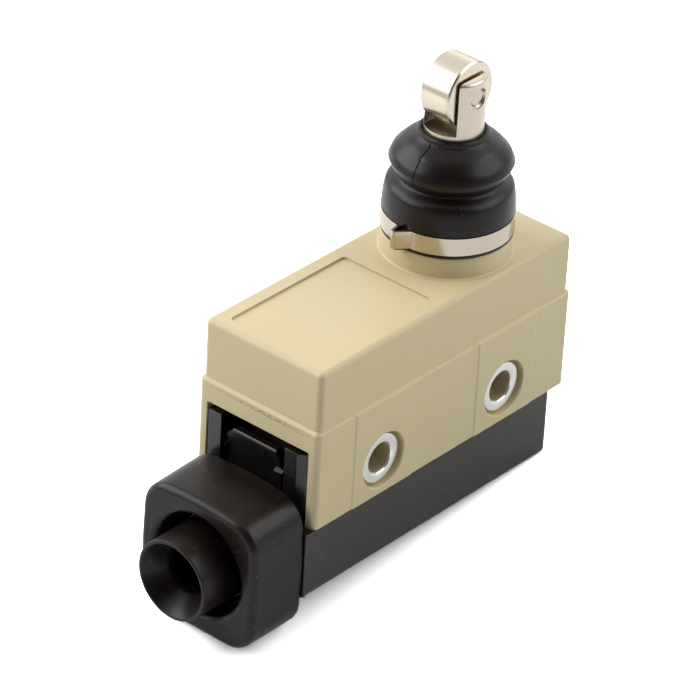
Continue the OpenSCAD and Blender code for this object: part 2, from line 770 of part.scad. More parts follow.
// Pin button of the built-in switch
module switch_button() {
    collar_top = roof_z - loose_gap;
    color("#b3372d") {
        ring(button_r, 0, collar_top - button_collar_t, button_top);
        ring(button_collar_r, 0, collar_top - button_collar_t, collar_top);
        ring(button_tip_r, 0, blade_top + tip_gap, collar_top);
    }
}

// Spring blade, cut out on each side of its tongue
module snap_blade() {
    slot_front = contact_x + contact_r + 1.2;
    slot_rear = plunger_x - button_collar_r;
    slot_y = blade_w / 4;
    slot_half = blade_w / 16;
    color("#c79a4b") difference() {
        block(blade_front, blade_rear, -blade_w / 2, blade_w / 2, blade_z, blade_top);
        translate([contact_x, 0, blade_z - cut]) cylinder(r = shank_r + press_gap, h = blade_t + 2 * cut);
        for (s = [-1, 1])
            block(slot_front, slot_rear, s * slot_y - slot_half, s * slot_y + slot_half, blade_z - cut,
                blade_top + cut);
    }
}

// Contact rivet: heads below and above a strip, and a shank through it
module contact_rivet(strip_z0, strip_z1, low_t, high_t) {
    color("#dedede") translate([contact_x, 0, 0]) {
        translate([0, 0, strip_z0 - low_t]) cylinder(r = contact_r, h = low_t);
        translate([0, 0, strip_z0 - press_gap])
            cylinder(r = shank_r, h = strip_z1 - strip_z0 + 2 * press_gap);
        translate([0, 0, strip_z1]) cylinder(r = contact_r, h = high_t);
    }
}

// Contact with a head below and above the blade
module moving_contact() { contact_rivet(blade_z, blade_top, contact_t, contact_t); }

// Fixed contact above the blade, closed at rest
module nc_contact() { contact_rivet(nc_strip_z, nc_strip_z + strip_t, contact_t, contact_t / 2); }

// Fixed contact below the blade, open at rest
module no_contact() { contact_rivet(no_strip_top - strip_t, no_strip_top, contact_t / 2, contact_t); }

// Terminal strip: a plate under the base with a screw hole, and a riser through the base
module terminal(riser, screw_x, riser_top) {
    half_w = strip_w / 2;
    difference() {
        union() {
            block(screw_x - plate_reach, riser + strip_t, -half_w, half_w, plate_bottom, switch_bottom);
            block(riser, riser + strip_t, -half_w, half_w, plate_bottom, riser_top);
            children();
        }
        translate([screw_x, 0, plate_bottom - cut]) cylinder(r = screw_r + loose_gap, h = strip_t + 2 * cut);
        translate([contact_x, 0, split_z]) cylinder(r = shank_r + press_gap, h = switch_top - split_z);
    }
}
module com_terminal() {
    color("#c9a552") terminal(com_riser, com_screw_x, shelf_top)
        block(pivot_x, com_riser + strip_t, -strip_w / 2, strip_w / 2, shelf_top - strip_t, shelf_top);
}
module no_terminal() {
    color("#c9a552") terminal(no_riser, no_screw_x, no_strip_top)
        block(contact_x - contact_r - contact_lap, no_riser + strip_t, -strip_w / 2, strip_w / 2,
            no_strip_top - strip_t, no_strip_top);
}
module nc_terminal() {
    color("#c9a552") terminal(nc_riser, nc_screw_x, nc_strip_z + strip_t)
        block(nc_riser, contact_x + contact_r + contact_lap, -strip_w / 2, strip_w / 2, nc_strip_z,
            nc_strip_z + strip_t);
}

// Terminal screw with a crossed slot, head down
module terminal_screw(x) {
    slot_t = screw_head_r / 4;
    slot_depth = screw_head_h / 2;
    color("#c3c3c6") translate([x, 0, 0]) difference() {
        union() {
            translate([0, 0, head_under]) cylinder(r = screw_head_r, h = screw_head_h);
            translate([0, 0, washer_bottom - press_gap])
                cylinder(r = screw_r, h = switch_bottom + screw_l - washer_bottom);
        }
        for (a = [0, 90]) rotate([0, 0, a])
            translate([0, 0, head_under]) cube([screw_head_r * 1.3, slot_t, 2 * slot_depth], center = true);
    }
}
module com_screw() { terminal_screw(com_screw_x); }
module no_screw() { terminal_screw(no_screw_x); }
module nc_screw() { terminal_screw(nc_screw_x); }

// Round washer between a terminal plate and its screw's head
module washer(x) {
    color("#b9b9bd") translate([x, 0, washer_bottom]) difference() {
        cylinder(r = washer_r, h = washer_t);
        translate([0, 0, -cut]) cylinder(r = screw_r + loose_gap, h = washer_t + 2 * cut);
    }
}
module com_washer() { washer(com_screw_x); }
module no_washer() { washer(no_screw_x); }
module nc_washer() { washer(nc_screw_x); }

// Pillars and latch tab that fill the case's front window
module cover_front() {
    root = cover_top - cut;
    x0 = -case_front;
    x1 = cover_in_front;
    along_x(x0, x1) translate([left_pillar_in, root]) square([left_pillar_w, pillar_top - root]);
    translate([0, 0, root]) linear_extrude(pillar_top - root) polygon([
        [x0, -pillar_out], [x0, right_pillar_in - right_slant_w], [x0 + right_slant_in, right_pillar_in],
        [x1, right_pillar_in], [x1, -pillar_out]
    ]);
    intersection() {
        along_x(x0, x1) polygon([
            [tab_left, root], [tab_left, tab_top - tab_shoulder_h], [tab_left - tab_shoulder_w, tab_top],
            [tab_right + tab_shoulder_w, tab_top], [tab_right, tab_top - tab_shoulder_h], [tab_right, root]
        ]);
        along_y(tab_right - cut, tab_left + cut) polygon([
            [x1, root], [x0 + stem_in, root], [x0 + stem_in, tab_ear_up], [x0 + hook_in, tab_ear_up],
            [x0 + tab_in, tab_top], [x1, tab_top]
        ]);
    }
    along_x(x0 + right_slant_in, x1) for (s = [-1, 1]) {
        inner = s > 0 ? tab_left : tab_right;
        root_y = inner - s * tab_slot / 2;
        tip_y = inner + s * 1.2 * tab_slot;
        polygon([
            [root_y, tab_ear_up + tab_slot], [tip_y, tab_ear_up], [tip_y, tab_ear_up - tab_slot / 2],
            [root_y, tab_ear_up - tab_slot / 2]
        ]);
    }
}

// Black cover under the case, with the spout that carries the seal
module terminal_cover() {
    half_w = cover_w / 2;
    tongue_t = cover_wall - loose_gap;
    color("#3c3a3c") difference() {
        union() {
            mirror([0, 0, 1]) soft_top_block(-case_front, cover_rear, -half_w, half_w, -cover_top,
                -cover_bottom, corner_r, cover_edge_r);
            block(cover_rear - tongue_t, cover_rear, -tongue_w / 2, tongue_w / 2, cover_top - cut,
                cover_top + tongue_h);
            cover_front();
            cable_bar(cover_in_front, spout_r, spout_r, cover_in_front - spout_end);
            cable_bar(rib_x + spout_rib_w, spout_r + spout_rib_h, spout_r + spout_rib_h, spout_rib_w);
        }
        block(cover_in_front, cover_rear - cover_wall, -half_w + cover_wall, half_w - cover_wall,
            cover_bottom + cover_floor, window_top + cut);
        cable_bar(cover_in_front + cut, spout_bore_r, spout_bore_r, cover_in_front - spout_end + 2 * cut);
    }
}

// Rounded square outline of the seal, in Y and Z, with an arched top
module seal_outline(inset) {
    half = seal_side / 2;
    intersection() {
        translate([0, -cable_below]) round_rect(-half + inset, -half + inset, half - inset, half - inset,
            seal_corner_r - inset);
        translate([0, half - cable_below - seal_arch_r]) circle(seal_arch_r - inset, $fn = 180);
    }
}

// Rubber cap over the spout, with a funnel nozzle for the cable
module cable_seal() {
    slice = 0.01;
    color("#262426") difference() {
        union() {
            hull() {
                along_x(seal_face + seal_bevel, seal_rear) seal_outline(0, $fn = 32);
                along_x(seal_face + 0.3 * seal_bevel, seal_rear) seal_outline(0.3 * seal_bevel, $fn = 32);
                along_x(seal_face, seal_face + slice) seal_outline(seal_bevel, $fn = 32);
            }
            cable_bar(seal_face + recess_depth, nozzle_root_r, nozzle_mouth_r, recess_depth + nozzle_l);
        }
        difference() {
            cable_bar(seal_face + recess_depth, recess_r, recess_r, recess_depth + cut);
            cable_bar(seal_face + recess_depth + cut, nozzle_root_r, nozzle_mouth_r,
                recess_depth + nozzle_l + cut);
        }
        cable_bar(seal_rear + cut, spout_r + press_gap, spout_r + press_gap,
            seal_rear + cut - spout_end + press_gap);
        cable_bar(rib_x + spout_rib_w + press_gap, spout_r + spout_rib_h + press_gap,
            spout_r + spout_rib_h + press_gap, spout_rib_w + 2 * press_gap);
        cable_bar(spout_end + cut, throat_r, throat_r, spout_end - nozzle_end + cut);
        cable_bar(nozzle_end + funnel_l, throat_r, nozzle_mouth_r - nozzle_rim, funnel_l + slice);
    }
}

case();
front_eyelet();
rear_eyelet();
plunger_guide();
boot();
boot_clamp();
plunger();
roller();
roller_pin();
spring_seat();
retaining_ring();
return_spring();
overtravel_spring();
pusher();
pusher_retainer();
switch_base();
switch_lid();
switch_button();
snap_blade();
moving_contact();
nc_contact();
no_contact();
com_terminal();
no_terminal();
nc_terminal();
com_screw();
no_screw();
nc_screw();
com_washer();
no_washer();
nc_washer();
terminal_cover();
cable_seal();
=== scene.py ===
"""Dressed model of an enclosed switch with a sealed roller plunger.

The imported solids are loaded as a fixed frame. The pieces that show are modelled again with their rounded
edges, seams and crimps, in millimetres, and are brought to metres when they are finished. The pieces inside
keep their solids and get a finish.
"""

from __future__ import annotations

import json
import logging
import math
from collections.abc import Callable, Sequence
from dataclasses import dataclass, field
from enum import Enum

import bmesh
import bpy
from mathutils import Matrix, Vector

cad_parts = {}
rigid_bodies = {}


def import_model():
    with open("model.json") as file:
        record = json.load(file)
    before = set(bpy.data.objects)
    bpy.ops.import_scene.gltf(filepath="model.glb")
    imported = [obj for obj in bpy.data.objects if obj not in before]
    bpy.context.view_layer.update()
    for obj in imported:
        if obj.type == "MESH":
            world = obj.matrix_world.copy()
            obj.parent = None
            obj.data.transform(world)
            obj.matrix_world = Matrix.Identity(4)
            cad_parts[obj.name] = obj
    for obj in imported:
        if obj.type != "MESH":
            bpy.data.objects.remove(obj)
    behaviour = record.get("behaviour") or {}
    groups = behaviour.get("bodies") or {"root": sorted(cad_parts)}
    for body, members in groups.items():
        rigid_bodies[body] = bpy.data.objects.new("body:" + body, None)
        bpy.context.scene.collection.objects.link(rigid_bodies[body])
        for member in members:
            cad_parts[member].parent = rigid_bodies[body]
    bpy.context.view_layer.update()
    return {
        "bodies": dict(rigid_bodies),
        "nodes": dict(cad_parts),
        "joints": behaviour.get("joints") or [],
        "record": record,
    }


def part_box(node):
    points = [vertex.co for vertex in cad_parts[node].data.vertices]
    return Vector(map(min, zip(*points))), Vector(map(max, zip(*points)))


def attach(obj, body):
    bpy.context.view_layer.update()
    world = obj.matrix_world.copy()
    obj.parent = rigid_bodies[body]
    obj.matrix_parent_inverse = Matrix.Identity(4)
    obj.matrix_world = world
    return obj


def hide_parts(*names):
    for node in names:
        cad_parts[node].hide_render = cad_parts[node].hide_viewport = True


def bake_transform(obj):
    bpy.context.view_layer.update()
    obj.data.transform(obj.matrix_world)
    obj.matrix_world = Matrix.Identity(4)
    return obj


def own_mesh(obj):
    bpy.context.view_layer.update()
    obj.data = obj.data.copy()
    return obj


log = logging.getLogger("switch")

Point2 = tuple[float, float]
Point3 = tuple[float, float, float]
# Corner of an outline: its two coordinates and the radius of its rounding.
Corner = tuple[float, float, float]
# Test of the places of an element's corners.
Test = Callable[[Sequence[Vector]], bool]
# Blender's types under short names.
Piece = bpy.types.Object
Material = bpy.types.Material
Tree = bpy.types.NodeTree
Node = bpy.types.Node
Socket = bpy.types.NodeSocket

X, Y, Z = range(3)
MM = 0.001
# Lengths in millimetres: points this close are merged, places this close count as one, a tool reaches
# this far past the face that it cuts, and pieces that fit into each other have this gap.
WELD = 0.0005
NEAR = 0.01
OVER = 1.0
FIT = 0.02
# An edge runs along an axis from this cosine on, and edges flatter than this angle are shaded smooth.
STRAIGHT = 0.99
SMOOTH_UNDER = math.radians(25)
# Faces round a small, a middling and a large turned piece.
SMALL_ROUND, MID_ROUND, LARGE_ROUND = 64, 96, 128
# Sockets of a mix: its share, the two numbers, the two colours and the mixed colour.
SHARE, FIRST, LAST, ONE, OTHER, MIXED = 0, 2, 3, 6, 7, 2
# Width of a speck's ragged bumps and how far they pull it, as shares of the gap between specks.
RAGGED, PULL = 0.3, 0.35


class Join(Enum):
    """Ways of combining two solids."""

    CUT = "DIFFERENCE"
    FUSE = "UNION"


class Pick(Enum):
    """Elements of a mesh that are picked in edit mode."""

    EDGE = "EDGE"
    FACE = "FACE"


class Step(Enum):
    """Modifiers that work a piece, by Blender's names."""

    COMBINE = "BOOLEAN"
    EASE = "BEVEL"
    EVEN_NORMALS = "WEIGHTED_NORMAL"
    THICKEN = "SOLIDIFY"
    WIND = "SCREW"


class Turn(Enum):
    """Rotations that lay the upright axis of a turned piece up, across the case or towards the cable."""

    UP = (0.0, 0.0, 0.0)
    ACROSS = (-math.pi / 2, 0.0, 0.0)
    TO_CABLE = (0.0, -math.pi / 2, 0.0)


class Grain(Enum):
    """Stretch of a metal's tool marks, as the share of their fineness along each axis."""

    ROUND_Z = (0.03, 0.03, 1.0)
    ROUND_Y = (0.03, 1.0, 0.03)
    NONE = (1.0, 1.0, 1.0)


class Kind(Enum):
    """Kinds of shader node, by Blender's names."""

    BACKGROUND = "ShaderNodeBackground"
    BUMP = "ShaderNodeBump"
    CELLS = "ShaderNodeTexVoronoi"
    COORDINATES = "ShaderNodeTexCoord"
    DIFFUSE = "ShaderNodeBsdfDiffuse"
    LIGHT_PATH = "ShaderNodeLightPath"
    MAPPING = "ShaderNodeMapping"
    MATH = "ShaderNodeMath"
    MIX = "ShaderNodeMix"
    NOISE = "ShaderNodeTexNoise"
    OUTPUT = "ShaderNodeOutputMaterial"
    RANGE = "ShaderNodeMapRange"
    SHADER = "ShaderNodeBsdfPrincipled"
    SPLIT_COLOUR = "ShaderNodeSeparateColor"
    SPLIT_VECTOR = "ShaderNodeSeparateXYZ"
    VECTOR_MATH = "ShaderNodeVectorMath"
    WORLD_OUTPUT = "ShaderNodeOutputWorld"


def linear(hex_colour: str) -> tuple[float, float, float, float]:
    """Turns an sRGB hex colour into a linear one.

    Args:
        hex_colour: Colour such as #c8b890.

    Returns:
        Linear red, green, blue and a full alpha.
    """
    parts = [int(hex_colour[i : i + 2], 16) / 255 for i in (1, 3, 5)]
    red, green, blue = (p / 12.92 if p <= 0.04045 else ((p + 0.055) / 1.055) ** 2.4 for p in parts)
    return red, green, blue, 1.0


def per_metre(size_mm: float) -> float:
    """Gives a pattern's scale from the real width of its features in millimetres."""
    return 1 / (size_mm * MM)


def add_node(tree: Tree, kind: Kind, inputs: dict | None = None, **settings: object) -> Node:
    """Adds one shader node, sets it up and links it.

    Args:
        tree: Node tree that gets the node.
        kind: Kind of node.
        inputs: Values, sockets and nodes by the name or number of the input; a node gives its first output.
        settings: Attributes of the node.

    Returns:
        The new node.
    """
    node = tree.nodes.new(kind.value)
    for name, value in settings.items():
        setattr(node, name, value)
    for name, value in (inputs or {}).items():
        source = value.outputs[0] if isinstance(value, Node) else value
        if isinstance(source, Socket):
            tree.links.new(source, node.inputs[name])
        else:
            node.inputs[name].default_value = source
    return node


def empty_tree(holder: Material | bpy.types.World) -> Tree:
    """Gives a material or a world an empty node tree.

    Args:
        holder: Material or world.

    Returns:
        The node tree.
    """
    holder.use_nodes = True
    holder.node_tree.nodes.clear()
    return holder.node_tree


def clear_selection() -> None:
    """Goes back to object mode and deselects everything."""
    if bpy.context.object and bpy.context.object.mode != "OBJECT":
        bpy.ops.object.mode_set(mode="OBJECT")
    bpy.ops.object.select_all(action="DESELECT")


def hold(piece: Piece) -> None:
    """Makes a piece the only selected object and the active one.

    Args:
        piece: Piece to work on.
    """
    clear_selection()
    piece.select_set(True)
    bpy.context.view_layer.objects.active = piece


def settle(piece: Piece) -> None:
    """Puts a piece's place, turn and scale into its mesh."""
    hold(piece)
    bpy.ops.object.transform_apply(location=True, rotation=True, scale=True)


def swing(piece: Piece, degrees: float, along_x: float = 0.0) -> None:
    """Turns a piece about the Z axis and then shifts it along X.

    Args:
        piece: Piece to place.
        degrees: Angle of the turn.
        along_x: Length of the shift, in millimetres.
    """
    piece.rotation_euler = (0, 0, math.radians(degrees))
    piece.location = (along_x, 0, 0)
    settle(piece)


def apply_step(piece: Piece, kind: Step, **settings: object) -> None:
    """Works a piece with one modifier and applies it.

    Args:
        piece: Piece that changes.
        kind: Kind of modifier.
        settings: Attributes of the modifier.
    """
    hold(piece)
    step = piece.modifiers.new(kind.name, kind.value)
    for name, value in settings.items():
        setattr(step, name, value)
    bpy.ops.object.modifier_apply(modifier=step.name)


def block(name: str, low: Point3, high: Point3) -> Piece:
    """Makes a box from its lowest to its highest corner.

    Args:
        name: Name of the piece.
        low: Lowest corner, in millimetres.
        high: Highest corner.

    Returns:
        The box.
    """
    clear_selection()
    size = [b - a for a, b in zip(low, high)]
    middle = [(a + b) / 2 for a, b in zip(low, high)]
    bpy.ops.mesh.primitive_cube_add(size=1, location=middle, scale=size)
    piece = bpy.context.object
    piece.name = name
    settle(piece)
    return piece


def chain(name: str, points: Sequence[Point3]) -> Piece:
    """Draws a line of edges through points and stays in edit mode.

    Args:
        name: Name of the piece.
        points: Points of the line, in millimetres.

    Returns:
        The piece, with all of its edges selected.
    """
    clear_selection()
    bpy.ops.mesh.primitive_plane_add(size=1)
    piece = bpy.context.object
    piece.name = name
    bpy.ops.object.mode_set(mode="EDIT")
    bpy.ops.mesh.select_mode(type="VERT")
    bpy.ops.mesh.select_all(action="SELECT")
    bpy.ops.mesh.merge(type="CENTER")
    bpy.ops.transform.translate(value=points[0])
    for start, end in zip(points, points[1:]):
        step = tuple(b - a for a, b in zip(start, end))
        bpy.ops.mesh.extrude_vertices_move(TRANSFORM_OT_translate={"value": step})
    bpy.ops.mesh.select_all(action="SELECT")
    return piece


def tidy_mesh() -> None:
    """Merges doubles and turns the faces outwards, in edit mode, and leaves it."""
    bpy.ops.mesh.select_all(action="SELECT")
    bpy.ops.mesh.remove_doubles(threshold=WELD)
    bpy.ops.mesh.normals_make_consistent(inside=False)
    bpy.ops.object.mode_set(mode="OBJECT")


def turned(
    name: str, outline: Sequence[Point2], turn: Turn, centre: Point3, steps: int = MID_ROUND
) -> Piece:
    """Spins an outline into a round piece, as on a lathe.

    Args:
        name: Name of the piece.
        outline: Points of radius and height, which end on the axis or where they start.
        turn: Direction of the axis.
        centre: Place of the axis and of height zero, in millimetres.
        steps: Number of steps round.

    Returns:
        The closed piece.
    """
    piece = chain(name, [(radius, 0.0, height) for radius, height in outline])
    bpy.ops.mesh.spin(steps=steps, angle=math.tau, center=(0, 0, 0), axis=(0, 0, 1))
    tidy_mesh()
    piece.rotation_euler = turn.value
    piece.location = centre
    settle(piece)
    return piece


def rod(radius: float, low: float, high: float) -> list[Point2]:
    """Gives the outline of a plain round rod between two heights."""
    return [(0, low), (radius, low), (radius, high), (0, high)]


def mirrored(half: Sequence[tuple]) -> list[tuple]:
    """Gives the points of an outline's half with their heights negated, in reverse order."""
    return [(radius, -height, *rest) for radius, height, *rest in reversed(half)]


def prism(name: str, points: Sequence[Point3], along: Point3) -> Piece:
    """Extrudes a flat closed outline into a solid.

    Args:
        name: Name of the piece.
        points: Corners of the outline, in order.
        along: Direction and length of the extrusion.

    Returns:
        The closed solid.
    """
    piece = chain(name, [*points, points[0]])
    bpy.ops.mesh.remove_doubles(threshold=WELD)
    bpy.ops.mesh.edge_face_add()
    bpy.ops.mesh.extrude_region_move(TRANSFORM_OT_translate={"value": along})
    tidy_mesh()
    return piece


def pick(piece: Piece, kind: Pick, wanted: Test) -> None:
    """Selects edges or faces by place and stays in edit mode.

    Args:
        piece: Piece to work on.
        kind: Edges or faces.
        wanted: Test that picks them.
    """
    hold(piece)
    bpy.ops.object.mode_set(mode="EDIT")
    bpy.ops.mesh.select_mode(type=kind.value)
    bpy.ops.mesh.select_all(action="DESELECT")
    mesh = bmesh.from_edit_mesh(piece.data)
    for element in mesh.edges if kind is Pick.EDGE else mesh.faces:
        element.select_set(wanted([corner.co for corner in element.verts]))
    mesh.select_flush_mode()
    bmesh.update_edit_mesh(piece.data)


def at(axis: int, value: float) -> Test:
    """Gives a test for elements that lie at one place along an axis."""
    return lambda corners: all(abs(corner[axis] - value) < NEAR for corner in corners)


def upright(corners: Sequence[Vector]) -> bool:
    """Tells whether an edge stands along Z."""
    return abs((corners[1] - corners[0]).normalized().z) > STRAIGHT


def lengthwise(corners: Sequence[Vector]) -> bool:
    """Tells whether an edge runs along X."""
    return abs((corners[1] - corners[0]).normalized().x) > STRAIGHT


def both(*tests: Test) -> Test:
    """Gives a test for elements that pass all of some tests."""
    return lambda corners: all(test(corners) for test in tests)


def ease(piece: Piece, wanted: Test, radius: float, steps: int = 4) -> None:
    """Rounds some edges of a piece.

    Args:
        piece: Piece to work on.
        wanted: Test that picks the edges.
        radius: Radius of the rounding, in millimetres.
        steps: Number of faces across the rounding.
    """
    pick(piece, Pick.EDGE, wanted)
    bpy.ops.mesh.bevel(offset=radius, offset_type="OFFSET", segments=steps, profile=0.5, affect="EDGES")
    bpy.ops.object.mode_set(mode="OBJECT")


def flare(piece: Piece, axis: int, value: float, scale: Point3, centre: Point3) -> None:
    """Scales the face at one place along an axis, which slopes the sides next to it.

    Args:
        piece: Piece to work on.
        axis: Number of the axis.
        value: Place of the face along it.
        scale: Scale along each axis.
        centre: Point that stays where it is.
    """
    pick(piece, Pick.FACE, at(axis, value))
    bpy.ops.transform.resize(value=scale, center_override=centre)
    bpy.ops.object.mode_set(mode="OBJECT")


def combine(piece: Piece, tool: Piece, how: Join) -> None:
    """Cuts a tool out of a piece or fuses it on, and removes the tool.

    Args:
        piece: Piece that changes.
        tool: Solid that is used up.
        how: Cut or fuse.
    """
    apply_step(piece, Step.COMBINE, operation=how.value, solver="EXACT", object=tool)
    bpy.data.objects.remove(tool, do_unlink=True)


def rounded(corners: Sequence[Corner], closed: bool = False, steps: int = 5) -> list[Point2]:
    """Draws an outline from its corners, each with its own rounding.

    Args:
        corners: Two places and the radius of each corner.
        closed: Whether the outline ends where it starts.
        steps: Number of edges in each rounding.

    Returns:
        Points of the outline, with the first one repeated at the end if it is closed.
    """
    points: list[Point2] = []
    count = len(corners)
    for index, (across, up, radius) in enumerate(corners):
        at_end = not closed and index in (0, count - 1)
        if radius == 0 or at_end:
            points.append((across, up))
            continue
        corner = Vector((across, up))
        before = (Vector(corners[index - 1][:2]) - corner).normalized()
        after = (Vector(corners[(index + 1) % count][:2]) - corner).normalized()
        half = before.angle(after) / 2
        centre = corner + (before + after).normalized() * radius / math.sin(half)
        start = corner + before * radius / math.tan(half) - centre
        end = corner + after * radius / math.tan(half) - centre
        points += [tuple(centre + start.slerp(end, step / steps) * radius) for step in range(steps + 1)]
    return [*points, points[0]] if closed else points


def flowing(points: Sequence[Point2], steps: int = 6) -> list[Point2]:
    """Draws a smooth curve through a few points.

    Args:
        points: Points that the curve goes through.
        steps: Number of edges between two points.

    Returns:
        Points of the curve.
    """
    knots = [Vector(p) for p in (points[0], *points, points[-1])]
    curve: list[Point2] = []
    for a, b, c, d in zip(knots, knots[1:], knots[2:], knots[3:]):
        for step in range(steps):
            t = step / steps
            place = 2 * b + (c - a) * t + (2 * a - 5 * b + 4 * c - d) * t**2 + (3 * b - a - 3 * c + d) * t**3
            curve.append(tuple(place / 2))
    return [*curve, tuple(points[-1])]


def node_box(node: str) -> tuple[Vector, Vector]:
    """Gives a node's lowest and highest corners in millimetres."""
    low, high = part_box(node)
    return Vector(low) / MM, Vector(high) / MM


def middle_x(node: str) -> float:
    """Gives the middle of a node along X in millimetres."""
    low, high = node_box(node)
    return (low.x + high.x) / 2


@dataclass(frozen=True)
class Finish:
    """What every finish has: a name, a colour and a roughness."""

    name: str
    colour: str
    roughness: float

    def open_tree(self) -> tuple[Material, Tree, Socket]:
        """Starts an empty node material.

        Returns:
            The material, its node tree and the object coordinates.
        """
        material = bpy.data.materials.new(self.name)
        tree = empty_tree(material)
        return material, tree, add_node(tree, Kind.COORDINATES).outputs["Object"]

    def close_tree(self, tree: Tree, inputs: dict) -> None:
        """Ends the node tree with the main shader, which takes some inputs."""
        shader = add_node(tree, Kind.SHADER, inputs)
        add_node(tree, Kind.OUTPUT, {"Surface": shader})

    def specks(self, tree: Tree, place: Socket, gap_mm: float, size: float, share: float) -> Node:
        """Adds a mask of rare small ragged specks, such as dust or dirt.

        Args:
            tree: Node tree of the material.
            place: Coordinates.
            gap_mm: Distance between two possible specks.
            size: Size of a speck as a share of that distance.
            share: Share of the places that have a speck.

        Returns:
            The mask, with a strength of its own on each speck and 0 elsewhere.
        """
        ragged_mm, pull = RAGGED * gap_mm, PULL * gap_mm * MM
        ragged = add_node(tree, Kind.NOISE, {"Vector": place, "Scale": per_metre(ragged_mm), "Detail": 1.0})
        pulled = {0: ragged.outputs["Color"], 1: (pull, pull, pull), 2: place}
        shifted = add_node(tree, Kind.VECTOR_MATH, pulled, operation="MULTIPLY_ADD")
        cells = add_node(tree, Kind.CELLS, {"Vector": shifted, "Scale": per_metre(gap_mm)})
        close = add_node(tree, Kind.MATH, {0: cells.outputs["Distance"], 1: size}, operation="LESS_THAN")
        chance = add_node(tree, Kind.SPLIT_COLOUR, {"Color": cells.outputs["Color"]}).outputs
        rare = add_node(tree, Kind.MATH, {0: chance[0], 1: share}, operation="LESS_THAN")
        speck = add_node(tree, Kind.MATH, {0: close, 1: rare}, operation="MULTIPLY")
        return add_node(tree, Kind.MATH, {0: speck, 1: chance[1]}, operation="MULTIPLY")


@dataclass(frozen=True)
class MouldedPlastic(Finish):
    """Injection-moulded plastic with a fine eroded grain and faint flow clouds."""

    cloud_colour: str
    cloud_mm: float = 9.0
    # A real grain is too fine to show in the render, so it is drawn as coarse as it needs to show.
    grain_mm: float = 0.35
    grain_deep_mm: float = 0.012
    grain_strength: float = 0.5
    rough_spread: float = 0.06
    specular: float = 0.5
    speck_colour: str = "#5a4a2c"
    speck_gap_mm: float = 2.2
    speck_size: float = 0.07
    speck_share: float = 0.0
    # A broken darker line under the front ledge: the size of its blots, the span of the noise that shows, its
    # strength, its fade and its box.
    dark_line_under_ledge: bool = False
    dark_line_blot_mm: float = 0.3
    dark_line_span: Point2 = (0.42, 0.6)
    dark_line_strength: float = 0.85
    dark_line_fade: Point2 = (0.2, 1.25)
    dark_line_box: tuple[Point3, Point3] = ((-26.4, -1.5, 9.1), (0.1, 8.0, 0.3))

    def make(self) -> Material:
        """Makes the material.

        Returns:
            The material.
        """
        material, tree, place = self.open_tree()
        cloud, grain = (
            add_node(tree, Kind.NOISE, {"Vector": place, "Scale": per_metre(size), "Detail": detail})
            for size, detail in ((self.cloud_mm, 3.0), (self.grain_mm, 2.0))
        )
        tones = {SHARE: cloud, ONE: linear(self.colour), OTHER: linear(self.cloud_colour)}
        tint = add_node(tree, Kind.MIX, tones, data_type="RGBA")
        dirt = self.specks(tree, place, self.speck_gap_mm, self.speck_size, self.speck_share)
        # The broken darker line under the front ledge joins the specks in one mask.
        if self.dark_line_under_ledge:
            dirt = self.add_dark_line(tree, place, dirt)
        soil = {SHARE: dirt, ONE: tint.outputs[MIXED], OTHER: linear(self.speck_colour)}
        base = add_node(tree, Kind.MIX, soil, data_type="RGBA")
        dull, spread = self.roughness, self.rough_spread
        rough = add_node(tree, Kind.RANGE, {"Value": cloud, "To Min": dull - spread, "To Max": dull + spread})
        relief = {"Height": grain, "Strength": self.grain_strength, "Distance": self.grain_deep_mm * MM}
        surface = {
            "Base Color": base.outputs[MIXED],
            "Roughness": rough,
            "Specular IOR Level": self.specular,
            "Normal": add_node(tree, Kind.BUMP, relief),
        }
        self.close_tree(tree, surface)
        return material

    def add_dark_line(self, tree: Tree, place: Socket, dirt: Node) -> Node:
        """Adds a broken darker line to a mask, which fades out towards the sides of a flat box.

        Args:
            tree: Node tree of the material.
            place: Coordinates.
            dirt: Mask that the darker line is added to.

        Returns:
            The mask with the darker line.
        """
        blot_noise = {"Vector": place, "Scale": per_metre(self.dark_line_blot_mm), "Detail": 3.0}
        blots = add_node(tree, Kind.NOISE, blot_noise)
        start, end = self.dark_line_span
        span = {"Value": blots, "From Min": start, "From Max": end, "To Max": self.dark_line_strength}
        mask = add_node(tree, Kind.RANGE, span)
        axes = add_node(tree, Kind.SPLIT_VECTOR, {0: place}).outputs
        for axis, middle, half in zip(axes, *self.dark_line_box):
            aside = add_node(tree, Kind.MATH, {0: axis, 1: middle * MM}, operation="SUBTRACT")
            far = add_node(tree, Kind.MATH, {0: aside}, operation="ABSOLUTE")
            start, end = (share * half * MM for share in self.dark_line_fade)
            fade = {"Value": far, "From Min": start, "From Max": end, "To Min": 1.0, "To Max": 0.0}
            inside = add_node(tree, Kind.RANGE, fade)
            mask = add_node(tree, Kind.MATH, {0: mask, 1: inside}, operation="MULTIPLY")
        return add_node(tree, Kind.MATH, {0: dirt, 1: mask}, operation="MAXIMUM")


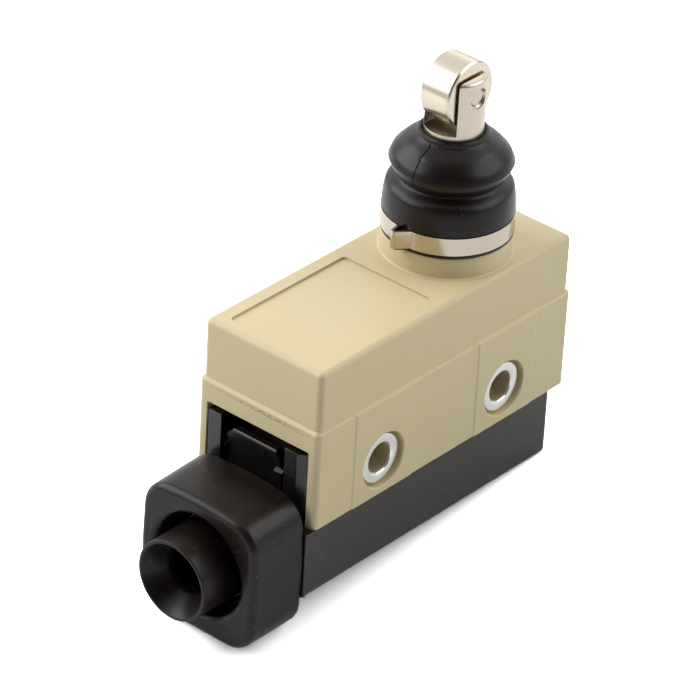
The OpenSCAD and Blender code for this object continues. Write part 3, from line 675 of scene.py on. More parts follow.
@dataclass(frozen=True)
class MouldedRubber(Finish):
    """Moulded black rubber with a dry bloom, a pebbled skin and white dust."""

    bloom_colour: str
    bloom_mm: float = 5.0
    dust_colour: str = "#8d877d"
    dust_gap_mm: float = 0.7
    dust_size: float = 0.09
    dust_share: float = 0.45
    # Real pebbles are too fine to show in the render, so they are drawn as coarse as they need to show.
    skin_mm: float = 0.5
    skin_deep_mm: float = 0.02
    skin_strength: float = 0.5
    specular: float = 0.26

    def make(self) -> Material:
        """Makes the material.

        Returns:
            The material.
        """
        material, tree, place = self.open_tree()
        cloud, skin = (
            add_node(tree, Kind.NOISE, {"Vector": place, "Scale": per_metre(size), "Detail": detail})
            for size, detail in ((self.bloom_mm, 5.0), (self.skin_mm, 3.0))
        )
        tones = {SHARE: cloud, ONE: linear(self.colour), OTHER: linear(self.bloom_colour)}
        bloom = add_node(tree, Kind.MIX, tones, data_type="RGBA")
        dust = self.specks(tree, place, self.dust_gap_mm, self.dust_size, self.dust_share)
        soil = {SHARE: dust, ONE: bloom.outputs[MIXED], OTHER: linear(self.dust_colour)}
        base = add_node(tree, Kind.MIX, soil, data_type="RGBA")
        relief = {"Height": skin, "Strength": self.skin_strength, "Distance": self.skin_deep_mm * MM}
        surface = {
            "Base Color": base.outputs[MIXED],
            "Roughness": self.roughness,
            "Specular IOR Level": self.specular,
            "Normal": add_node(tree, Kind.BUMP, relief),
        }
        self.close_tree(tree, surface)
        return material


@dataclass(frozen=True)
class WorkedMetal(Finish):
    """Bare or plated metal with the marks of the tool that made it."""

    shade_colour: str = ""
    grain: Grain = Grain.NONE
    # Real tool marks and grit are too fine to show in the render, so they are drawn as coarse as they need.
    mark_mm: float = 0.25
    mark_deep_mm: float = 0.004
    mark_strength: float = 0.4
    grit_mm: float = 0.2
    stain_mm: float = 4.0
    rough_spread: Point2 = (-0.05, 0.07)

    def make(self) -> Material:
        """Makes the material.

        Returns:
            The material.
        """
        material, tree, place = self.open_tree()
        fineness = tuple(share * per_metre(self.mark_mm) for share in self.grain.value)
        lines = add_node(tree, Kind.MAPPING, {"Vector": place, "Scale": fineness})
        marks = add_node(tree, Kind.NOISE, {"Vector": lines, "Scale": 1.0, "Detail": 2.0})
        stain, grit = (
            add_node(tree, Kind.NOISE, {"Vector": place, "Scale": per_metre(size), "Detail": 2.0})
            for size in (self.stain_mm, self.grit_mm)
        )
        low, high = (self.roughness + change for change in self.rough_spread)
        rough = add_node(tree, Kind.RANGE, {"Value": stain, "To Min": low, "To Max": high})
        tones = {SHARE: grit, ONE: linear(self.colour), OTHER: linear(self.shade_colour or self.colour)}
        tint = add_node(tree, Kind.MIX, tones, data_type="RGBA")
        relief = {"Height": marks, "Strength": self.mark_strength, "Distance": self.mark_deep_mm * MM}
        surface = {
            "Base Color": tint.outputs[MIXED],
            "Metallic": 1.0,
            "Roughness": rough,
            "Normal": add_node(tree, Kind.BUMP, relief),
        }
        self.close_tree(tree, surface)
        return material


@dataclass
class Workshop:
    """Holds the loaded frame and the finishes, and hands finished pieces over to the frame."""

    frame: dict
    materials: dict[str, Material] = field(default_factory=dict)

    def mix_finishes(self) -> None:
        """Makes the material of every slot in the record, and of three places with a finish of their own."""
        finishes = {
            # Polyester moulding: an even satin beige that hardly shines, with a broken darker line under the
            # front ledge.
            "case_plastic": MouldedPlastic(
                "beige_polyester", "#cfc096", 0.42, cloud_colour="#d3c49c", speck_share=0.03, dark_line_under_ledge=True
            ),
            # Black moulded ABS: grey sheen on its faces, bright fine edges.
            "cover_plastic": MouldedPlastic(
                "black_abs", "#171514", 0.27, cloud_colour="#1c1a18", grain_mm=0.3, speck_colour="#8a8682"
            ),
            # Nitrile rubber: brownish black, matt, with dust that clings to it.
            "black_rubber": MouldedRubber("nitrile_rubber", "#110c0a", 0.32, bloom_colour="#1a120f"),
            # Sand-finished stainless steel: a warm satin with a fine sparkle.
            "stainless": WorkedMetal(
                "satin_stainless", "#d2c9ba", 0.3, shade_colour="#b6ac9d", grain=Grain.ROUND_Z
            ),
            # Ground stainless steel: warm white bands along the fine rings of the grinding wheel.
            "roller": WorkedMetal(
                "ground_stainless", "#d8cfbf", 0.25, shade_colour="#ccc2b1", grain=Grain.ROUND_Y
            ),
            # Rolled stainless strip, crimped by hand tongs: soft dents that break up its reflections.
            "strip": WorkedMetal(
                "crimped_stainless", "#c4baab", 0.2, shade_colour="#b4aa9a", mark_mm=2.0, mark_deep_mm=0.09
            ),
            # Nickel-plated steel: bright, with soft waves.
            "eyelet_steel": WorkedMetal("nickel_plate", "#dddcda", 0.2, mark_mm=1.5, mark_deep_mm=0.006),
            # Bare inside of the drawn tube: rough and dull, and tinted darker and a little brown as painted
            # shade in the hole.
            "bore": WorkedMetal("drawn_tube_bore_with_painted_shade", "#cfc6ac", 0.6, mark_mm=0.5, mark_deep_mm=0.01),
            # Drawn spring wire: grey and dull.
            "spring_steel": WorkedMetal("drawn_steel_wire", "#b9b9bc", 0.32),
            # Rolled brass strip: yellow with a soft gloss.
            "brass": WorkedMetal("rolled_brass", "#dcc184", 0.28, mark_mm=0.4),
            # Silver contact rivet: white and bright.
            "contact_silver": WorkedMetal("silver_contact", "#e9e8e4", 0.18),
            # Phenolic moulding: dark brown, dry, with a speckle of filler; its brown is made darker still as
            # painted shade for the room seen through the window.
            "phenolic": MouldedPlastic("phenolic", "#2a1f1b", 0.5, cloud_colour="#33261f", cloud_mm=0.6),
            # Red polyamide pin: smooth and a little glossy.
            "button_plastic": MouldedPlastic("red_polyamide", "#ac4031", 0.3, cloud_colour="#b34638"),
        }
        self.materials = {slot: finish.make() for slot, finish in finishes.items()}

    def hand_over(
        self, piece: Piece, slot: str, node: str, body: str | None = None, finish: str | None = None
    ) -> None:
        """Brings a piece to metres, shades and dresses it and puts it in its node's place.

        Args:
            piece: Finished piece, in millimetres.
            slot: Material slot of the record.
            node: Node that the piece stands for.
            body: Body that the piece rides on; without one the piece stays without a parent.
            finish: Finish that differs from the slot's own.
        """
        piece.scale = (MM, MM, MM)
        settle(piece)
        bpy.ops.object.shade_smooth_by_angle(angle=SMOOTH_UNDER)
        apply_step(piece, Step.EVEN_NORMALS, keep_sharp=True)
        piece.data.materials.clear()
        piece.data.materials.append(self.materials[finish or slot])
        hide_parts(node)
        if body:
            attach(piece, body)
        log.info("%s: %d faces, for %s", piece.name, len(piece.data.polygons), node)

    def dress_inside(self) -> None:
        """Gives the nodes that keep their solids the finish of their slot."""
        for row in self.frame["record"]["subparts"]:
            solid = self.frame["nodes"][row["node"]]
            for holder in solid.material_slots:
                holder.material = self.materials[row["material_slot"]]
        log.info("inner solids dressed")


@dataclass
class Case:
    """Beige case with its turret, label recess, window and steel eyelets."""

    ledge: float = 10.0
    ledge_step: float = 0.4
    ledge_edge: float = 0.4
    corner: float = 0.9
    top: float = 18.9
    top_wall: float = 1.9
    front_wall: float = 1.8
    side_wall: float = 1.95
    cover_end: float = 23.7
    cover_wall: float = 1.5
    room_gap: float = 0.15
    label_size: Point2 = (23.1, 15.6)
    label_margin: float = 2.0
    label_depth: float = 0.3
    label_corner: float = 0.7
    window_half: float = 8.95
    window_top: float = 6.5
    window_corner: float = 0.35
    lip: float = 0.12
    pad_half: float = 6.0
    pad_rise: float = 0.12
    pad_slope: float = 2.0
    turret_r: float = 9.0
    turret_draft: float = 0.15
    turret_top: float = 22.1
    turret_edge: float = 0.3
    turret_foot: float = 0.25
    plinth_r: float = 9.55
    plinth_rise: float = 0.06
    plinth_edge: float = 0.04
    spigot_r: float = 7.8
    guide_r: float = 6.02
    tongue_half: float = 6.15
    tongue_rise: float = 2.15
    counterbore_r: float = 4.15
    counterbore_deep: float = 1.12
    hole_r: float = 2.8
    tube_gap: float = 0.05
    bore_r: float = 2.2
    flange_t: float = 0.5
    flange_roll: float = 0.42
    flange_edge: float = 0.2
    flange_under: float = 0.12
    flange_root: float = 0.1
    low: Vector = field(init=False)
    high: Vector = field(init=False)
    axis_x: float = field(init=False)

    def build(self, shop: Workshop) -> None:
        """Builds the case and its eyelets and hands them over.

        Args:
            shop: Workshop that dresses the pieces.
        """
        self.low, self.high = node_box("case")
        self.axis_x = middle_x("plunger_guide")
        shell = self.blocks()
        combine(shell, self.turret(), Join.FUSE)
        for tool in (*self.room(), *self.window(), self.label()):
            combine(shell, tool, Join.CUT)
        for node in ("front_eyelet", "rear_eyelet"):
            hole_x = middle_x(node)
            for side in (-1, 1):
                combine(shell, self.pad(hole_x, side), Join.FUSE)
            combine(shell, self.hole(hole_x), Join.CUT)
            eyelet = self.eyelet(node, hole_x)
            shop.hand_over(eyelet, "eyelet_steel", node, body="case")
            self.dull_bore_with_painted_shade(eyelet, hole_x, shop.materials["bore"])
        shop.hand_over(shell, "case_plastic", "case", body="case")

    def blocks(self) -> Piece:
        """Makes the lower block and the upper one on its ledge.

        Returns:
            Both blocks as one.
        """
        low, high, step = self.low, self.high, self.ledge_step
        half = high.y - self.pad_rise
        shell = block("case_shell", (low.x, -half, low.z), (high.x, half, self.ledge))
        ease(shell, upright, self.corner, steps=6)
        ease(shell, at(Z, self.ledge), self.ledge_edge, steps=1)
        upper_low = (low.x + step, low.y + step, self.ledge - OVER)
        upper = block("upper", upper_low, (high.x - step, high.y - step, self.top))
        ease(upper, lambda ends: upright(ends) or at(Z, self.top)(ends), self.corner, steps=6)
        combine(shell, upper, Join.FUSE)
        return shell

    def turret(self) -> Piece:
        """Makes the turret on its faint plinth, with the spigot that the boot sits on.

        Returns:
            The turret, which reaches into the case's top.
        """
        plinth = self.top + self.plinth_rise
        corners = [
            (0, self.top - OVER, 0),
            (self.plinth_r, self.top - OVER, 0),
            (self.plinth_r, plinth, self.plinth_edge),
            (self.turret_r + self.turret_draft, plinth, self.turret_foot),
            (self.turret_r, self.turret_top, self.turret_edge),
            (self.spigot_r, self.turret_top, 0),
            (self.spigot_r, self.high.z, self.turret_edge),
            (0, self.high.z, 0),
        ]
        return turned("turret", rounded(corners), Turn.UP, (self.axis_x, 0, 0), LARGE_ROUND)

    def room(self) -> tuple[Piece, ...]:
        """Makes the tools for the inner room, the guide's bore and the tongue's pocket.

        Returns:
            The three tools.
        """
        below = self.low.z - OVER
        half = self.high.y - self.side_wall
        room_top = self.top - self.top_wall
        inner_end = self.cover_end - self.cover_wall
        room_low = (self.low.x + self.front_wall, -half, below)
        room = block("room", room_low, (inner_end - self.room_gap, half, room_top))
        outline = rod(self.guide_r, room_top - OVER, self.high.z + OVER)
        bore = turned("bore", outline, Turn.UP, (self.axis_x, 0, 0))
        pocket_high = (self.cover_end + FIT, self.tongue_half, self.low.z + self.tongue_rise)
        pocket = block("pocket", (inner_end - FIT, -self.tongue_half, below), pocket_high)
        return room, bore, pocket

    def window(self) -> tuple[Piece, ...]:
        """Makes the tools for the front window and its softened rim.

        Returns:
            The two tools.
        """
        front, half, below, lip = self.low.x, self.window_half, self.low.z - OVER, self.lip
        hole_high = (front + self.front_wall + OVER, half, self.window_top)
        hole = block("window", (front - OVER, -half, below), hole_high)
        ease(hole, both(lengthwise, at(Z, self.window_top)), self.window_corner)
        rim = block("rim", (front - lip, -half, below), (front + lip, half, self.window_top))
        grow = 1 + 2 * lip / half
        flare(rim, X, front - lip, (1, grow, grow), (front, 0, 0))
        return hole, rim

    def label(self) -> Piece:
        """Makes the tool for the label recess.

        Returns:
            The tool.
        """
        front = self.low.x + self.ledge_step + self.label_margin
        length, width = self.label_size
        low = (front, -width / 2, self.top - self.label_depth)
        recess = block("recess", low, (front + length, width / 2, self.top + OVER))
        ease(recess, upright, self.label_corner, steps=5)
        return recess

    def pad(self, hole_x: float, side: int) -> Piece:
        """Makes the slightly raised pad round one end of a mounting hole, with sloped sides.

        Args:
            hole_x: Place of the hole.
            side: 1 on the left of the switch, -1 on its right.

        Returns:
            The pad, which reaches into the case's wall.
        """
        face = self.high.y
        inner = face - self.pad_rise - OVER
        near, far = sorted((side * face, side * inner))
        low = (hole_x - self.pad_half, near, self.low.z)
        piece = block("pad", low, (hole_x + self.pad_half, far, self.ledge))
        grow = 1 + self.pad_slope * (face - inner) / self.pad_half
        flare(piece, Y, side * inner, (grow, 1, 1), (hole_x, 0, 0))
        ease(piece, both(at(Y, side * face), at(Z, self.ledge)), self.ledge_edge, steps=1)
        return piece

    def hole(self, hole_x: float) -> Piece:
        """Makes the tool for one mounting hole and its counterbores.

        Args:
            hole_x: Place of the hole.

        Returns:
            The tool.
        """
        face = self.high.y
        seat, reach = face - self.counterbore_deep, face + OVER
        wide = self.counterbore_r
        half = [(self.hole_r, seat), (wide, seat), (wide, face - self.lip), (wide + OVER + self.lip, reach)]
        outline = [(0, -reach), *mirrored(half), *half, (0, reach)]
        return turned("hole", outline, Turn.ACROSS, (hole_x, 0, 0))

    def eyelet(self, node: str, hole_x: float) -> Piece:
        """Makes a tube with a rolled flange at each end.

        Args:
            node: Name of the node that it stands for.
            hole_x: Place of the hole.

        Returns:
            The eyelet.
        """
        low, high = node_box(node)
        flange_r, face = (high.x - low.x) / 2, high.y
        under = face - self.flange_t
        half = [
            (self.hole_r - self.tube_gap, under, self.flange_root),
            (flange_r, under, self.flange_under),
            (flange_r, face, self.flange_edge),
            (self.bore_r, face, self.flange_roll),
        ]
        outline = rounded([*half, *mirrored(half)], closed=True, steps=6)
        return turned(node + "_rolled", outline, Turn.ACROSS, (hole_x, 0, 0))

    def dull_bore_with_painted_shade(self, eyelet: Piece, hole_x: float, finish: Material) -> None:
        """Gives the inside of an eyelet's tube its own finish, whose darker brown tint is painted shade in
        the hole.

        Args:
            eyelet: Finished eyelet, in metres.
            hole_x: Place of the hole, in millimetres.
            finish: Material of the tube's inside.
        """
        reach = self.bore_r + self.lip

        def in_bore(ends: Sequence[Vector]) -> bool:
            """Tells whether a face lies inside the tube."""
            return all(math.hypot(end.x / MM - hole_x, end.z / MM) < reach for end in ends)

        pick(eyelet, Pick.FACE, in_bore)
        eyelet.data.materials.append(finish)
        eyelet.active_material_index = 1
        bpy.ops.object.material_slot_assign()
        bpy.ops.object.mode_set(mode="OBJECT")


@dataclass
class Boot:
    """Rubber bellows and the crimped band that clamps its foot."""

    outer: tuple[Point2, ...] = (
        (9.12, 25.35), (9.12, 26.7), (8.87, 28.7), (8.42, 29.5), (7.4, 30.15), (7.2, 30.5), (7.6, 30.9),
        (8.13, 31.7), (8.49, 32.6), (8.53, 32.72), (8.6, 32.8), (8.53, 32.88), (8.42, 33.25), (7.98, 34.1),
        (6.6, 35.5), (5.35, 36.3), (5.0, 36.55),
    )
    inner: tuple[Point2, ...] = (
        (8.22, 26.7), (7.92, 28.5), (6.6, 29.7), (6.3, 30.5), (6.6, 31.2), (7.43, 32.4), (7.43, 33.2),
        (5.75, 35.1), (4.12, 35.5),
    )
    foot: tuple[Corner, ...] = (
        (7.82, 22.1, 0), (9.2, 22.1, 0.12), (9.2, 22.6, 0.12), (8.83, 22.6, 0), (8.83, 25.25, 0),
    )
    lip: tuple[Corner, ...] = (
        (4.85, 36.7, 0), (4.85, 37.25, 0.16), (4.45, 37.25, 0.08), (4.12, 36.9, 0), (3.67, 36.78, 0),
        (3.67, 36.02, 0), (4.12, 36.0, 0),
    )
    spigot_top: float = 26.1
    seam_angle: float = 182.0
    seam_half: float = 0.09
    seam_sink: float = 0.112
    seam_span: Point2 = (31.6, 36.9)
    seam_in: float = 4.9
    skin_r: float = 6.9
    skin_high: float = 35.3
    blend_low: float = 25.5
    blend_high: float = 36.0
    band_mid_r: float = 9.05
    band_t: float = 0.4
    band_low: float = 22.62
    band_high: float = 25.25
    band_steps: int = 90
    band_edge: float = 0.11
    sharp_from: float = math.radians(50)
    ear_angle: float = 177.0
    ear_left: float = 0.75
    ear_right: float = 1.48
    ear_root: float = 0.22
    crease: float = 0.14
    crease_r: float = 0.06
    ear_tip: tuple[Corner, ...] = ((10.75, -0.4, 0.32), (10.68, 0.12, 0.32))
    # Outline and top of a black rubber plug in the band's ear, which paints the shade in its hollow.
    plug: tuple[Corner, ...] = ((8.6, -0.6, 0), (10.35, -0.2, 0.1), (10.3, 0.02, 0.1), (8.7, 1.3, 0))
    plug_top: float = 24.85
    axis_x: float = field(init=False)

    def build(self, shop: Workshop) -> None:
        """Builds the bellows and the band and hands them over.

        Args:
            shop: Workshop that dresses the pieces.
        """
        self.axis_x = middle_x("boot")
        bellows = self.bellows()
        shop.hand_over(bellows, "black_rubber", "boot")
        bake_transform(bellows)
        shop.hand_over(self.band(), "stainless", "boot_clamp", body="case", finish="strip")

    def bellows(self) -> Piece:
        """Makes the bellows with the sunk seam of its mould.

        Returns:
            The bellows.
        """
        skin = [*rounded(self.foot), *flowing(self.outer), *rounded(self.lip)]
        lining = [*reversed(flowing(self.inner)), (self.foot[0][0], self.spigot_top), self.foot[0][:2]]
        piece = turned("bellows", [*skin, *lining], Turn.UP, (0, 0, 0), LARGE_ROUND)
        # The black plug in the band's ear stands in for the shade in its hollow.
        combine(piece, self.black_shade_plug(), Join.FUSE)
        ease(piece, self.on_seam, self.seam_half, steps=2)
        pick(piece, Pick.EDGE, self.on_seam)
        bpy.ops.transform.translate(value=(-self.seam_sink, 0, -self.seam_sink))
        bpy.ops.object.mode_set(mode="OBJECT")
        swing(piece, self.seam_angle, self.axis_x)
        return piece

    def on_seam(self, ends: Sequence[Vector]) -> bool:
        """Tells whether an edge of the upper fold's skin lies on the seam.

        Args:
            ends: Ends of the edge.

        Returns:
            Whether it does.
        """
        low, high = self.seam_span
        inside = all(low < end.z < high and end.x > self.seam_in for end in ends)
        on_skin = all(end.x > self.skin_r or end.z > self.skin_high for end in ends)
        return inside and on_skin and at(Y, 0)(ends)

    def black_shade_plug(self) -> Piece:
        """Makes a black rubber plug that fills the band's ear, as painted shade in its hollow.

        Returns:
            The plug, turned as the bellows is before it is swung to its seam.
        """
        low = self.foot[2][1] - self.band_t
        outline = rounded(self.plug, closed=True)[:-1]
        piece = prism("black_shade_plug", [(x, y, low) for x, y in outline], (0, 0, self.plug_top - low))
        swing(piece, self.ear_angle - self.seam_angle)
        return piece

    def band(self) -> Piece:
        """Makes the band with its crimped ear.

        Returns:
            The band.
        """
        radius, steps = self.band_mid_r, self.band_steps
        start = math.asin(self.ear_right / radius)
        end = math.tau - math.asin(self.ear_left / radius)
        turns = [start + (end - start) * step / steps for step in range(1, steps)]
        round_part = [(radius * math.cos(a), radius * math.sin(a)) for a in turns]
        left_root, right_root = (math.sqrt(radius**2 - y**2) for y in (self.ear_left, self.ear_right))
        ear = rounded(
            [
                (*round_part[-1], 0),
                (left_root, -self.ear_left, self.ear_root),
                *self.ear_tip,
                (right_root - self.crease, self.ear_right, self.crease_r),
                (*round_part[0], 0),
            ]
        )
        piece = chain("band", [(x, y, self.band_low) for x, y in (*round_part, *ear[1:])])
        bpy.ops.mesh.remove_doubles(threshold=WELD)
        rise = (0, 0, self.band_high - self.band_low)
        bpy.ops.mesh.extrude_region_move(TRANSFORM_OT_translate={"value": rise})
        tidy_mesh()
        apply_step(piece, Step.THICKEN, thickness=self.band_t, offset=0, use_even_offset=True)
        apply_step(piece, Step.EASE, width=self.band_edge, segments=3, angle_limit=self.sharp_from)
        swing(piece, self.ear_angle, self.axis_x)
        return piece


@dataclass
class Spring:
    """One coil spring under the boot, built at one length; the real spring shortens as the plunger goes down.
    """

    node: str
    body: str
    wire_r: float
    turns: int
    give: float
    held_at_top: bool
    steps: int = 32
    sides: int = 10

    def build(self, shop: Workshop) -> None:
        """Makes the coil and hands it over, with a mesh of its own.

        Args:
            shop: Workshop that dresses the piece.
        """
        low, high = node_box(self.node)
        axis = middle_x(self.node)
        piece = self.coil((high.x - low.x) / 2 - self.wire_r, low.z, high.z)
        swing(piece, 0, axis)
        shop.hand_over(piece, "spring_steel", self.node, body=self.body)
        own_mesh(piece)

    def coil(self, mean_r: float, low: float, high: float) -> Piece:
        """Winds a round wire up the vertical axis.

        Args:
            mean_r: Radius to the middle of the wire, in millimetres.
            low: Lowest height of the wire.
            high: Highest height of the wire.

        Returns:
            The closed coil.
        """
        clear_selection()
        start = (mean_r, 0, low + self.wire_r)
        bpy.ops.mesh.primitive_circle_add(
            vertices=self.sides, radius=self.wire_r, location=start, rotation=(math.pi / 2, 0, 0)
        )
        piece = bpy.context.object
        piece.name = f"wound_{self.node}"
        settle(piece)
        pitch = (high - low - 2 * self.wire_r) / self.turns
        rounds = {"steps": self.steps, "render_steps": self.steps, "iterations": self.turns}
        apply_step(piece, Step.WIND, screw_offset=pitch, **rounds)
        bpy.ops.object.mode_set(mode="EDIT")
        bpy.ops.mesh.select_all(action="SELECT")
        bpy.ops.mesh.fill_holes(sides=0)
        tidy_mesh()
        return piece


@dataclass
class PlungerHead:
    """Slotted plunger with its roller and the staked pin."""

    edge: float = 0.5
    head_edge: float = 0.2
    slot_half: float = 2.85
    slot_floor: float = 38.0
    slot_edge: float = 0.15
    pin_hole_r: float = 1.22
    sink_r: float = 1.5
    sink_deep: float = 0.7
    rim_deep: float = 0.3
    stem_r: float = 4.1
    head_top: float = 23.4
    bore_r: float = 2.6
    bore_l: float = 11.0
    neck_r: float = 3.65
    necks: tuple[Point2, ...] = ((34.48, 35.12), (36.0, 36.8))
    roller_gap: float = 0.35
    roller_play: float = 0.05
    roller_edges: Point3 = (0.08, 0.06, 0.1)
    chamfer: float = 0.25
    pin_r: float = 1.2
    pin_sunk: float = 0.5
    pin_edge: float = 0.1
    dish_r: float = 0.96
    dish: float = 0.25
    low: Vector = field(init=False)
    high: Vector = field(init=False)
    axle: Point3 = field(init=False)

    def build(self, shop: Workshop) -> None:
        """Builds the plunger, the roller and the pin and hands them over.

        Args:
            shop: Workshop that dresses the pieces.
        """
        self.low, self.high = node_box("plunger")
        spin = next(joint for joint in shop.frame["joints"] if joint["name"] == "roller_spin")
        self.axle = tuple(value / MM for value in spin["pos_m"])
        shop.hand_over(self.plunger(), "stainless", "plunger", body="plunger")
        shop.hand_over(self.roller(), "stainless", "roller", body="roller", finish="roller")
        shop.hand_over(self.pin(), "stainless", "roller_pin", body="plunger")

    def plunger(self) -> Piece:
        """Makes the slotted plunger with its necks, its pin hole and the bore for the spring.

        Returns:
            The plunger.
        """
        x, _, z = self.axle
        bottom, top, stem_r = self.low.z, self.high.z, self.stem_r
        head_r = (self.high.x - self.low.x) / 2
        corners = [(0, bottom, 0), (head_r, bottom, self.head_edge), (head_r, self.head_top, self.head_edge)]
        corners.append((stem_r, self.head_top, 0))
        for low, high in self.necks:
            corners += [(stem_r, low, 0), (self.neck_r, low, 0), (self.neck_r, high, 0), (stem_r, high, 0)]
        corners += [(stem_r, top, self.edge), (0, top, 0)]
        piece = turned("slotted_plunger", rounded(corners, steps=7), Turn.UP, (x, 0, 0), LARGE_ROUND)
        reach = stem_r + OVER
        slot_high = (x + reach, self.slot_half, top + OVER)
        slot = block("slot", (x - reach, -self.slot_half, self.slot_floor), slot_high)
        ease(slot, both(lengthwise, at(Z, self.slot_floor)), self.slot_edge)
        mouth, rim = stem_r - self.sink_deep, stem_r - self.rim_deep
        half = [(self.pin_hole_r, mouth), (self.sink_r, rim), (self.sink_r, reach)]
        sink = [(0, -reach), *mirrored(half), *half, (0, reach)]
        pin_hole = turned("pin_hole", sink, Turn.ACROSS, (x, 0, z), SMALL_ROUND)
        bore_outline = rod(self.bore_r, bottom - OVER, bottom + self.bore_l)
        bore = turned("bore", bore_outline, Turn.UP, (x, 0, 0), SMALL_ROUND)
        for tool in (slot, pin_hole, bore):
            combine(piece, tool, Join.CUT)
        return piece

    def roller(self) -> Piece:
        """Makes the roller with its chamfered rims.

        Returns:
            The roller.
        """
        low, high = node_box("roller")
        radius = (high.x - low.x) / 2
        side = self.slot_half - self.roller_gap
        bore, rim = self.pin_r + self.roller_play, radius - self.chamfer
        places = ((bore, side), (rim, side), (radius, side - self.chamfer))
        half = [(*place, edge) for place, edge in zip(places, self.roller_edges)]
        outline = rounded([*half, *mirrored(half)], closed=True, steps=3)
        return turned("rimmed_roller", outline, Turn.ACROSS, self.axle, LARGE_ROUND)

    def pin(self) -> Piece:
        """Makes the pin with a dish staked into each end.

        Returns:
            The pin.
        """
        end = self.stem_r - self.pin_sunk
        half = [(self.pin_r, end, self.pin_edge), (self.dish_r, end, self.pin_edge), (0, end - self.dish, 0)]
        outline = rounded([*mirrored(half), *half], steps=3)
        return turned("staked_pin", outline, Turn.ACROSS, self.axle, SMALL_ROUND)


